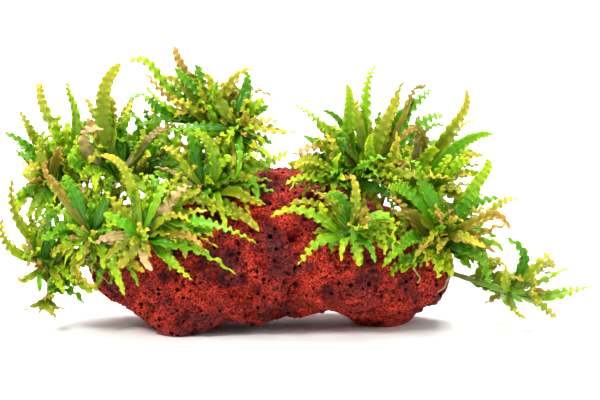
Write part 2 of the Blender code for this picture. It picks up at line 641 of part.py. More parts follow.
def build():
    """Make the stone, then every stalk, leaf and root, each clear of the ones before."""
    clear_scene()
    rng = np.random.default_rng(SEED)
    stone = make_stone()
    stone_tree = BVHTree.FromBMesh(stone)
    finish("lava_stone", stone, (0.32, 0.035, 0.022), 0.75, smooth_angle=40)
    stalks = {shoot.name: stalk_centres(shoot, stone_tree) for shoot in SHOOTS}
    stalk_trees = {name: tree_of(stalk_rings(centres)) for name, centres in stalks.items()}
    outer_trees, inner_trees = [], []
    settled = {}
    for kind, shares in (("outer", OUTER_SHARES), ("inner", INNER_SHARES)):
        for shoot in SHOOTS:
            leaves = list(getattr(shoot, kind))
            blocks = [stone_tree] + outer_trees + [tree for name, tree in stalk_trees.items()
                                                   if kind == "outer" or name != shoot.name]
            faces, used = {}, set()
            low, high = OUTER_LEVELS
            if kind == "inner":
                leaves += spare_leaves(shoot, rng)
                faces = stalk_faces(stalk_rings(stalks[shoot.name]))
                low, high = INNER_LEVELS
            for number, leaf in enumerate(leaves):
                level = low + (high - low) * (number + 0.5) / len(leaves)
                roll = rng.uniform(-LEAF_ROLL, LEAF_ROLL)
                rings, foot = settle(shoot, stalks[shoot.name], leaf, level, shares, faces, used,
                                     blocks, stalk_trees[shoot.name], inner_trees, roll)
                if rings is None:
                    continue
                settled[shoot.name, kind, number] = (rings, foot, leaf.tone)
                if kind == "outer":
                    outer_trees.append(tree_of(rings))
                    blocks.append(outer_trees[-1])
                else:
                    used.add(foot)
                    inner_trees.append(tree_of(body_of(rings, faces[foot], NEAR_WHOLE)))
    for shoot in SHOOTS:
        bm = solid(stalk_rings(stalks[shoot.name]))
        side_faces = list(bm.faces)
        for (name, kind, number), (rings, foot, tone) in settled.items():
            if name != shoot.name:
                continue
            if kind == "inner":
                grow_leaf(bm, side_faces[foot], rings)
            else:
                finish(f"{name}_leaf_{number + 1}", solid(rings), TONES[tone], 0.35, smooth_angle=80)
        finish(f"{shoot.name}_shoot", bm, TONES["green"], 0.4, smooth_angle=80)
    for name, first, last in ROOTS:
        ends = []
        for spot in (first, last):
            nearest, out, _, _ = stone_tree.find_nearest(tuple(place(*spot)))
            ends.append(np.array(nearest) + np.array(out) * (ROOT_RADIUS + 1.5))
        middle, out, _, _ = stone_tree.find_nearest(tuple((ends[0] + ends[1]) / 2))
        via = np.array(middle) + np.array(out) * (ROOT_RADIUS + 2.5)
        centres = along_curve(ends[0], via, ends[1], np.linspace(0, 1, 7))
        finish(name, solid(tube_rings(centres, np.full(7, ROOT_RADIUS), ROOT_SIDES)), (0.45, 0.36, 0.14), 0.6)


build()
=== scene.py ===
"""Downoi, a small water plant with crimped leaves, growing in two clumps on one red lava stone.

Lengths are in millimetres until a mesh is made. X runs along the stone, Y away from the viewer
and Z up. Lists of places give across and up as the front view shows them.
"""
import math
from typing import NamedTuple

import bmesh
import bpy
import numpy as np
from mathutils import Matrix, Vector
from mathutils.bvhtree import BVHTree


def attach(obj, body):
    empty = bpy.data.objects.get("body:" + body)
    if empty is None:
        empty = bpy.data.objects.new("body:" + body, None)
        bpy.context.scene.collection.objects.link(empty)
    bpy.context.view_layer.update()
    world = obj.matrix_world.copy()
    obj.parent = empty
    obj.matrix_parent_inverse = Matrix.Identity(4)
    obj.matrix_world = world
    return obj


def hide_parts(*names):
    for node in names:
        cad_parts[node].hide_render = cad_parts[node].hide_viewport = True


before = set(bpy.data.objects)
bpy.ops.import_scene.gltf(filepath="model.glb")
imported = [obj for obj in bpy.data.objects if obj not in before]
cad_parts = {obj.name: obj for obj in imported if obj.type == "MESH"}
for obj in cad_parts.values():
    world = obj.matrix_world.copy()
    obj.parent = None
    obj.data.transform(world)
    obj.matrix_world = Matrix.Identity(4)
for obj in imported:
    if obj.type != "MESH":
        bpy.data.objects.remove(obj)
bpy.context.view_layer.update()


# The stone is one lump of red lava, sold broken to size: crumbly, full of gas pores of every
# size, damp, and brick red with darker and greyer patches. It stands on four low spots of
# its underside, with a low gap between them near the middle.

MM = 0.001
SEED = 41
FOOTPRINT_MIDDLE = (-0.58, 0.07, 0.0)     # in the lists' numbers; it becomes the origin
STONE_CENTRE = np.array((-15.0, 0.0, 36.0))
STONE_OUTLINE = (               # front outline of the stone, x and z, anticlockwise from the right end
    (86, 19), (84, 32), (70, 45), (50, 56), (28, 68), (4, 76), (-8, 78), (-24, 76), (-50, 70),
    (-78, 61), (-98, 51), (-106, 39), (-102, 26), (-90, 17), (-76, 4), (-44, 2), (-30, 9),
    (-8, 8), (16, 8), (34, 6), (54, 7), (74, 12),
)
STONE_HALF_DEPTH = 43.0
STONE_SQUARENESS = 2.4
STONE_CUTS = 15
FEET = ((-60, -30), (-52, 22), (44, 6), (48, 24))     # where the stone touches down, x and y
FOOT_RADIUS = 13.0
FOOT_DROP = 12.0
ARCH_X, ARCH_HALF_WIDTH, ARCH_HEIGHT = 14.0, 9.0, 3.5
LUMPS = 34
LUMP_HEIGHT = (-4.5, 5.0)
LUMP_SPREAD = (0.16, 0.42)
BIG_PORES = (                   # the large pores of the front face, x and height as seen
    (-51, 23), (-42, 27), (-37, 18), (-56, 13), (-29, 15), (-50, 6), (-25, 28), (-9, 35),
    (-16, 35), (-12, 9), (23, 22), (45, 23), (40, 23), (12, 15), (-5, 11), (28, 14), (59, 14),
    (-72, 12), (-80, 20), (2, 24), (-33, 6), (50, 10), (-20, 20), (8, 30), (-2, 46), (-22, 50),
)
PORE_RISE = 4.0                 # the front face stands nearer, so its spots show lower than they are
PORE_RADIUS = 3.0
PORE_DEPTH = 3.4
OTHER_PORES = 60
CRAGS = (                       # size of the broken crags and how far each size stands out
    (21.0, 3.2), (10.5, 2.0),
)
STONE_ROWS, STONE_COLUMNS = 306, 320      # from end to end, and round the X axis
STONE_REACH = (95.0, 43.0, 40.0)          # spaces the rows and columns evenly over the stone
LAVA_GRAINS = (                           # size of each grain and how far it stands out
    (5.4, 1.1), (2.8, 0.9), (1.6, 0.6),
)
GAS_PORES = (                             # size of the cells that hold one pore each, depth, share of cells
    (5.6, 2.2, 0.16), (3.4, 1.8, 0.34), (2.3, 1.2, 0.45),
)


def ease(value):
    """0 below 0, 1 above 1, and a smooth step between."""
    value = np.clip(value, 0.0, 1.0)
    return value * value * (3 - 2 * value)


def unit(vectors):
    """The vectors, each brought to length 1."""
    return vectors / np.linalg.norm(vectors, axis=-1, keepdims=True)


def outline_radius(angles):
    """Distance from the centre to the rounded front outline, at each angle round the Y axis."""
    corners = np.array(STONE_OUTLINE, float) - STONE_CENTRE[[0, 2]]
    corner_angles = np.arctan2(corners[:, 1], corners[:, 0])
    order = np.argsort(corner_angles)
    count = 96
    even = np.linspace(-math.pi, math.pi, count, endpoint=False)
    radius = np.interp(even, corner_angles[order], np.hypot(*corners.T)[order], period=2 * math.pi)
    radius = sum(np.roll(radius, shift) for shift in range(-3, 4)) / 7
    return np.interp(angles, even, radius, period=2 * math.pi)


def scatter(rng, count):
    """Random unit directions."""
    return unit(rng.normal(size=(count, 3)))


def rounded_box(directions):
    """Radius of the plain stone: a rounded box of the front outline and the depth."""
    in_plane = np.hypot(directions[:, 0], directions[:, 2])
    flat = outline_radius(np.arctan2(directions[:, 2], directions[:, 0]))
    power = STONE_SQUARENESS
    return ((in_plane / flat) ** power
            + (np.abs(directions[:, 1]) / STONE_HALF_DEPTH) ** power) ** (-1 / power)


def lumpy_radius(directions):
    """The plain radius plus broad lumps, each of which fades with the angle from its middle."""
    rng = np.random.default_rng(SEED)
    ways, heights = scatter(rng, LUMPS), rng.uniform(*LUMP_HEIGHT, LUMPS)
    spreads = rng.uniform(*LUMP_SPREAD, LUMPS)
    return rounded_box(directions) + np.exp((directions @ ways.T - 1) / spreads ** 2) @ heights


def pore_ways():
    """Directions of the big pores: those of the front face, and others scattered all round."""
    rng = np.random.default_rng(SEED + 1)
    across, up = np.array(BIG_PORES, float).T
    x, z = across - STONE_CENTRE[0], up + PORE_RISE - STONE_CENTRE[2]
    flat = outline_radius(np.arctan2(z, x))
    power = STONE_SQUARENESS
    depth = STONE_HALF_DEPTH * np.maximum(0.0, 1 - (np.hypot(x, z) / flat) ** power) ** (1 / power)
    front = unit(np.stack((x, -depth, z), axis=1))
    others = unit(scatter(rng, OTHER_PORES) * (90.0, 42.0, 40.0) + (0.0, 25.0, 0.0))
    return np.vstack((front, others))


def chance(cells, salt):
    """A repeatable number from 0 to 1 for each cell: its three whole numbers, each times a large
    prime, are mixed with one another and shuffled."""
    mixed = (cells[..., 0] * 73856093) ^ (cells[..., 1] * 19349663) ^ (cells[..., 2] * 83492791)
    mixed = (mixed ^ (salt * 40503)) & 0xffffffff
    for shift, factor in ((15, 0x2c1b3c6d), (12, 0x297a2d39)):
        mixed = ((mixed ^ (mixed >> shift)) * factor) & 0xffffffff
    return ((mixed ^ (mixed >> 15)) & 0xffffff) / float(1 << 24)


def grain(points, size, salt):
    """A smooth random height from -1 to 1: the chance numbers at the eight corners of the point's
    cell, blended by the eased distance to each."""
    spot = points / size
    cell = np.floor(spot).astype(np.int64)
    share = ease(spot - cell)
    total = np.zeros(len(points))
    for corner in np.ndindex(2, 2, 2):
        total += np.prod(np.where(corner, share, 1 - share), axis=1) * chance(cell + corner, salt)
    return 2 * total - 1


def stone_surface(directions):
    """Points of the stone's surface that lie in the given directions from its centre.

    Each big pore is a round dent in the lumpy surface, and crags, 1 - 2 |h| of a smooth random
    height h, stand out all over. The underside is drawn down to its feet, lifted over the arch
    and cut flat at Z = 0.
    """
    points = STONE_CENTRE + lumpy_radius(directions)[:, None] * directions
    ways = pore_ways()
    spots = STONE_CENTRE + lumpy_radius(ways)[:, None] * ways
    away = np.linalg.norm(points[:, None] - spots, axis=2)
    dent = PORE_DEPTH * np.exp(-(away / PORE_RADIUS) ** 2).max(axis=1)
    x, y, z = points.T
    crags = sum(height * (0.5 - 2 * np.abs(grain(points, size, 10 + number)))
                for number, (size, height) in enumerate(CRAGS))
    points -= directions * (dent - crags)[:, None]
    under = ease(-2.5 * directions[:, 2])
    feet = sum(np.exp(-((x - foot_x) ** 2 + (y - foot_y) ** 2) / FOOT_RADIUS ** 2)
               for foot_x, foot_y in FEET)
    arch = ARCH_HEIGHT * np.exp(-((x - ARCH_X) / ARCH_HALF_WIDTH) ** 2)
    points[:, 2] += under * (arch - FOOT_DROP * feet)
    points[:, 2] = np.maximum(points[:, 2], 0.0)
    return points


def gas_pores(points, size, share, salt):
    """Depth from 0 to 1 inside round pores: a share of the cells hold a ball of random place and
    radius r, and at distance d from its middle the depth is the root of 1 - (d / r)^2."""
    cell = np.floor(points / size).astype(np.int64)
    deepest = np.zeros(len(points))
    for step in np.ndindex(3, 3, 3):
        near = cell + step - 1
        shift = np.stack([chance(near, salt + axis) for axis in range(3)], axis=-1)
        radius = size * (0.16 + 0.34 * chance(near, salt + 3) ** 1.5)
        away = np.linalg.norm(points - (near + 0.2 + 0.6 * shift) * size, axis=1)
        depth = np.sqrt(np.clip(1 - (away / radius) ** 2, 0, 1))
        deepest = np.maximum(deepest, np.where(chance(near, salt + 4) < share, depth, 0.0))
    return deepest


def lava_surface(directions):
    """The stone's surface in the given directions, with its grain and gas pores, and the painted shade
    of each point: more deep in gas pores and near the big pores, less, as painted light, on raised
    grain. The grain adds ridged heights, 1 - 2 |h|, of four sizes."""
    points = stone_surface(directions)
    wander = np.stack([grain(points, 6.0, 90 + axis) for axis in range(3)], axis=-1)
    relief = np.zeros(len(points))
    for number, (size, height) in enumerate(LAVA_GRAINS):
        relief += height * (0.7 - 2 * np.abs(grain(points + 0.8 * wander, size, 20 + number)))
    hollow = np.zeros(len(points))
    for number, (size, depth, share) in enumerate(GAS_PORES):
        hollow = np.maximum(hollow, depth * gas_pores(points + wander, size, share, 40 + 10 * number))
    ways = pore_ways()
    spots = STONE_CENTRE + lumpy_radius(ways)[:, None] * ways
    away = np.linalg.norm(points[:, None] - spots[None], axis=2).min(axis=1)
    big_pore_shade = np.exp(-(away / (0.65 * PORE_RADIUS)) ** 2)
    off_ground = ease(points[:, 2] / 5.0)
    points = points + directions * ((relief - hollow) * off_ground)[:, None]
    points[:, 2] = np.maximum(points[:, 2], 0.0)
    # The second value is painted shade: dark deep in the gas pores and round the big pores, light on raised grain.
    return points, hollow + 1.6 * big_pore_shade - 0.9 * relief


def ball_grid(rows, columns, reach):
    """Unit directions over a ball with its poles on the X axis, and the faces between them. Along
    the rows the point (reach x cos t, reach y sin t cos a, reach z sin t sin a) is brought to 1."""
    tilt = np.linspace(0, math.pi, rows + 1)[1:-1, None]
    turn = np.arange(columns)[None, :] * 2 * math.pi / columns
    around = np.stack((np.cos(tilt) + 0 * turn, np.sin(tilt) * np.cos(turn), np.sin(tilt) * np.sin(turn)), -1)
    ends = np.array(((1.0, 0, 0), (-1.0, 0, 0)))
    directions = unit(np.concatenate((around.reshape(-1, 3), ends)) * reach)
    row = np.arange(rows - 2)[:, None] * columns
    here, following = np.arange(columns), (np.arange(columns) + 1) % columns
    quads = np.stack((row + here, row + columns + here, row + columns + following, row + following), -1)
    first, last = (rows - 1) * columns, (rows - 1) * columns + 1
    start = np.stack((np.full(columns, first), here, following), -1)
    end_row = (rows - 2) * columns
    end = np.stack((np.full(columns, last), end_row + following, end_row + here), -1)
    return directions, quads.reshape(-1, 4).tolist() + start.tolist() + end.tolist()


def new_piece(name, points, faces, material, values=None, colours=None, uvs=None):
    """An object in metres at the origin from points in millimetres, smooth, with one material.
    Values and colours become attributes of the points; uvs becomes the map named leaf."""
    mesh = bpy.data.meshes.new(name)
    mesh.from_pydata(((points - FOOTPRINT_MIDDLE) * MM).tolist(), [], faces)
    mesh.shade_smooth()
    for key, numbers in (values or {}).items():
        mesh.attributes.new(key, "FLOAT", "POINT").data.foreach_set("value", numbers.astype(np.float32))
    for key, shades in (colours or {}).items():
        full = np.column_stack((shades, np.ones(len(shades)))).astype(np.float32)
        mesh.attributes.new(key, "FLOAT_COLOR", "POINT").data.foreach_set("color", full.ravel())
    if uvs is not None:
        corners = np.empty(len(mesh.loops), np.int32)
        mesh.loops.foreach_get("vertex_index", corners)
        mesh.uv_layers.new(name="leaf").data.foreach_set("uv", uvs[corners].astype(np.float32).ravel())
    mesh.materials.append(material)
    piece = bpy.data.objects.new(name, mesh)
    bpy.context.scene.collection.objects.link(piece)
    return piece


def noise(tree, coordinates, scale, detail=4.0, roughness=0.6):
    """A noise texture of a material, read at the given coordinates."""
    node = tree.nodes.new("ShaderNodeTexNoise")
    node.inputs["Scale"].default_value = scale
    node.inputs["Detail"].default_value = detail
    node.inputs["Roughness"].default_value = roughness
    tree.links.new(coordinates, node.inputs["Vector"])
    return node.outputs["Fac"]


def ramp(tree, value, *stops):
    """A colour ramp of a material: each stop is a place from 0 to 1 and a colour."""
    node = tree.nodes.new("ShaderNodeValToRGB")
    elements = node.color_ramp.elements
    while len(elements) < len(stops):
        elements.new(0.5)
    for element, (place_on, colour) in zip(elements, stops):
        element.position = place_on
        element.color = (*colour, 1.0)
    tree.links.new(value, node.inputs["Fac"])
    return node.outputs["Color"]


def blend(tree, kind, share, first, second):
    """Two colours of a material combined; share is a number or an output."""
    node = tree.nodes.new("ShaderNodeMix")
    node.data_type, node.blend_type = "RGBA", kind
    for socket, value in ((node.inputs[0], share), (node.inputs[6], first), (node.inputs[7], second)):
        if isinstance(value, bpy.types.NodeSocket):
            tree.links.new(value, socket)
        else:
            socket.default_value = value if isinstance(value, float) else (*value, 1.0)
    return node.outputs[2]


def number_node(tree, kind, first, second):
    """A sum, product or other operation on two numbers of a material."""
    node = tree.nodes.new("ShaderNodeMath")
    node.operation = kind
    for socket, value in zip(node.inputs, (first, second)):
        if isinstance(value, bpy.types.NodeSocket):
            tree.links.new(value, socket)
        else:
            socket.default_value = value
    return node.outputs[0]


def bump(tree, height, distance, strength, below=None):
    """A bump of a material, over another where one is given."""
    node = tree.nodes.new("ShaderNodeBump")
    node.inputs["Distance"].default_value = distance
    node.inputs["Strength"].default_value = strength
    tree.links.new(height, node.inputs["Height"])
    if below is not None:
        tree.links.new(below, node.inputs["Normal"])
    return node.outputs["Normal"]


def new_material(name):
    """A material with its node tree, its shader, and the object's own coordinates."""
    material = bpy.data.materials.new(name)
    material.use_nodes = True
    tree = material.node_tree
    coordinates = tree.nodes.new("ShaderNodeTexCoord").outputs["Object"]
    return material, tree, tree.nodes["Principled BSDF"], coordinates


def attribute(tree, name, output):
    """An attribute of the mesh, as a number (Fac) or a colour (Color)."""
    node = tree.nodes.new("ShaderNodeAttribute")
    node.attribute_name = name
    return node.outputs[output]


def pits(tree, coordinates, scale, widest):
    """1 between the pits of a material and 0 in them: one round spot in each cell, of random width."""
    node = tree.nodes.new("ShaderNodeTexVoronoi")
    node.inputs["Scale"].default_value = scale
    tree.links.new(coordinates, node.inputs["Vector"])
    lot = tree.nodes.new("ShaderNodeSeparateColor")
    tree.links.new(node.outputs["Color"], lot.inputs[0])
    width = number_node(tree, "MULTIPLY", number_node(tree, "POWER", lot.outputs[0], 3.0), widest)
    share = number_node(tree, "DIVIDE", node.outputs["Distance"], number_node(tree, "ADD", width, 0.04))
    return ramp(tree, share, (0.55, (0.0, 0.0, 0.0)), (1.0, (1.0, 1.0, 1.0)))


def make_lava():
    """Red lava: brick red mottled with pale, maroon and purple-grey grains, with painted shade in its
    pores and hollows and painted light where it is open and raised.
    """
    material, tree, shader, spot = new_material("red_lava")
    patches = ramp(tree, noise(tree, spot, 60.0, 5.0), (0.40, (0.085, 0.008, 0.008)),
                   (0.50, (0.230, 0.014, 0.006)), (0.60, (0.400, 0.026, 0.008)))
    grains = ramp(tree, noise(tree, spot, 1000.0, 3.0, 0.7), (0.38, (0.06, 0.05, 0.06)),
                  (0.50, (0.90, 0.85, 0.90)), (0.60, (2.20, 2.10, 2.40)))
    colour = blend(tree, "MULTIPLY", 1.0, patches, grains)
    grey = ramp(tree, noise(tree, spot, 120.0, 6.0, 0.75), (0.54, (0.0, 0.0, 0.0)), (0.66, (1.0, 1.0, 1.0)))
    colour = blend(tree, "MIX", number_node(tree, "MULTIPLY", grey, 0.25), colour, (0.100, 0.034, 0.040))
    small_pits, tiny_pits = pits(tree, spot, 330.0, 0.50), pits(tree, spot, 700.0, 0.6)
    # Painted shade: the colour goes nearly black in the small and tiny pits, for the shade inside pores.
    colour = blend(tree, "MULTIPLY", 1.0, colour, small_pits)
    colour = blend(tree, "MULTIPLY", 0.85, colour, tiny_pits)
    # Painted shade and light: hollows and pores are darkened nearly to black, open and raised grain lightened.
    depth = number_node(tree, "MULTIPLY", attribute(tree, "hollow", "Fac"), 0.28)
    shade = ramp(tree, depth, (0.0, (1.45, 1.45, 1.45)), (0.26, (0.92, 0.88, 0.90)), (0.60, (0.08, 0.04, 0.05)))
    colour = blend(tree, "MULTIPLY", 1.0, colour, shade)
    tree.links.new(colour, shader.inputs["Base Color"])
    damp = ramp(tree, noise(tree, spot, 500.0, 3.0), (0.35, (0.30, 0.30, 0.30)), (0.65, (0.85, 0.85, 0.85)))
    tree.links.new(damp, shader.inputs["Roughness"])
    tree.links.new(number_node(tree, "MULTIPLY", small_pits, 0.2), shader.inputs["Specular IOR Level"])
    coarse = bump(tree, noise(tree, spot, 380.0, 5.0, 0.75), 0.0022, 1.0)
    pitted = bump(tree, tiny_pits, 0.0005, 0.8, bump(tree, small_pits, 0.0012, 0.9, coarse))
    fine = bump(tree, noise(tree, spot, 1500.0, 3.0, 0.7), 0.0005, 0.8, pitted)
    tree.links.new(fine, shader.inputs["Normal"])
    return material


stone_ways, stone_faces = ball_grid(STONE_ROWS, STONE_COLUMNS, STONE_REACH)
stone_points, stone_painted_shade = lava_surface(stone_ways)
lava = make_lava()
lava_stone = new_piece("red_lava_stone", stone_points, stone_faces, lava, values={"hollow": stone_painted_shade})
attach(lava_stone, "root")
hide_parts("lava_stone")


# The plants are fourteen shoots, tied to the stone until their roots held. Each is a short
# stalk with a star of leaves round its upper end. The lists say where each stalk ends and
# where every leaf passes and ends; a leaf leans back or forward until it clears the others.

GAP = 0.35                      # clear space between neighbouring pieces
VIEW_TILT = math.radians(8)     # the lists give heights as seen from this far above level
STALK_SIDES = 6
STALK_ROWS = 4
STALK_RADIUS = 2.0
STALK_SWELL = 0.5
LEAF_ZONE = 13.0                # length of stalk that carries leaves
OUTER_LEVELS = (0.0, 0.6)       # stretch of the leafy zone that each kind of leaf grows from
INNER_LEVELS = (0.1, 1.0)
LEAF_THICKNESS = 1.1
TOUCHING_COST = 1.2             # how far off a free face may be, to keep clear of a used one
FACES_TRIED = 7
LEAST_OUTWARD = 0.45            # how squarely a grown leaf has to leave its face of the stalk
LEAST_OFF = 0.15                # how far the first rings of a grown leaf stay in front of its face
LEAST_AGREEMENT = 0.35          # how far neighbouring rings of a grown leaf may turn, as a cosine
NEAR_WHOLE = 0.99               # feet are tested a bit small, since those side by side share corners
PUSHES = sorted((step * 2.5 for step in range(-10, 11)), key=abs)
TRIES = [(shift, push) for shift in (0.0, 0.25, -0.25) for push in PUSHES]   # along the stalk, and in depth
LEAF_ROOM = 0.35                # space kept round a leaf while it is placed
OUTER_SHARES = (0.0, 0.12, 0.27, 0.42, 0.56, 0.7, 0.85, 1.0)   # where along a leaf its rings lie
INNER_SHARES = (0.0, 0.1, 0.38, 0.69, 1.0)
LEAF_ROLL = 0.35                # radians that a leaf may roll about its length
LOWEST_LEAF = 2.5


class Leaf(NamedTuple):
    """One leaf: the points that its midrib passes and ends at (across, up), the depth that
    its tip leans away (+) or towards the viewer (-), its width and its colour."""
    via: tuple
    tip: tuple
    lean: float
    width: float
    tone: str


class Shoot(NamedTuple):
    """One shoot: the end of its stalk (across, depth, up), the bow of the stalk, its leaves that
    are pieces of their own, the small ones grown with the stalk, and how many of those face back."""
    name: str
    crown: tuple
    bow: tuple
    outer: tuple
    inner: tuple
    spare: int


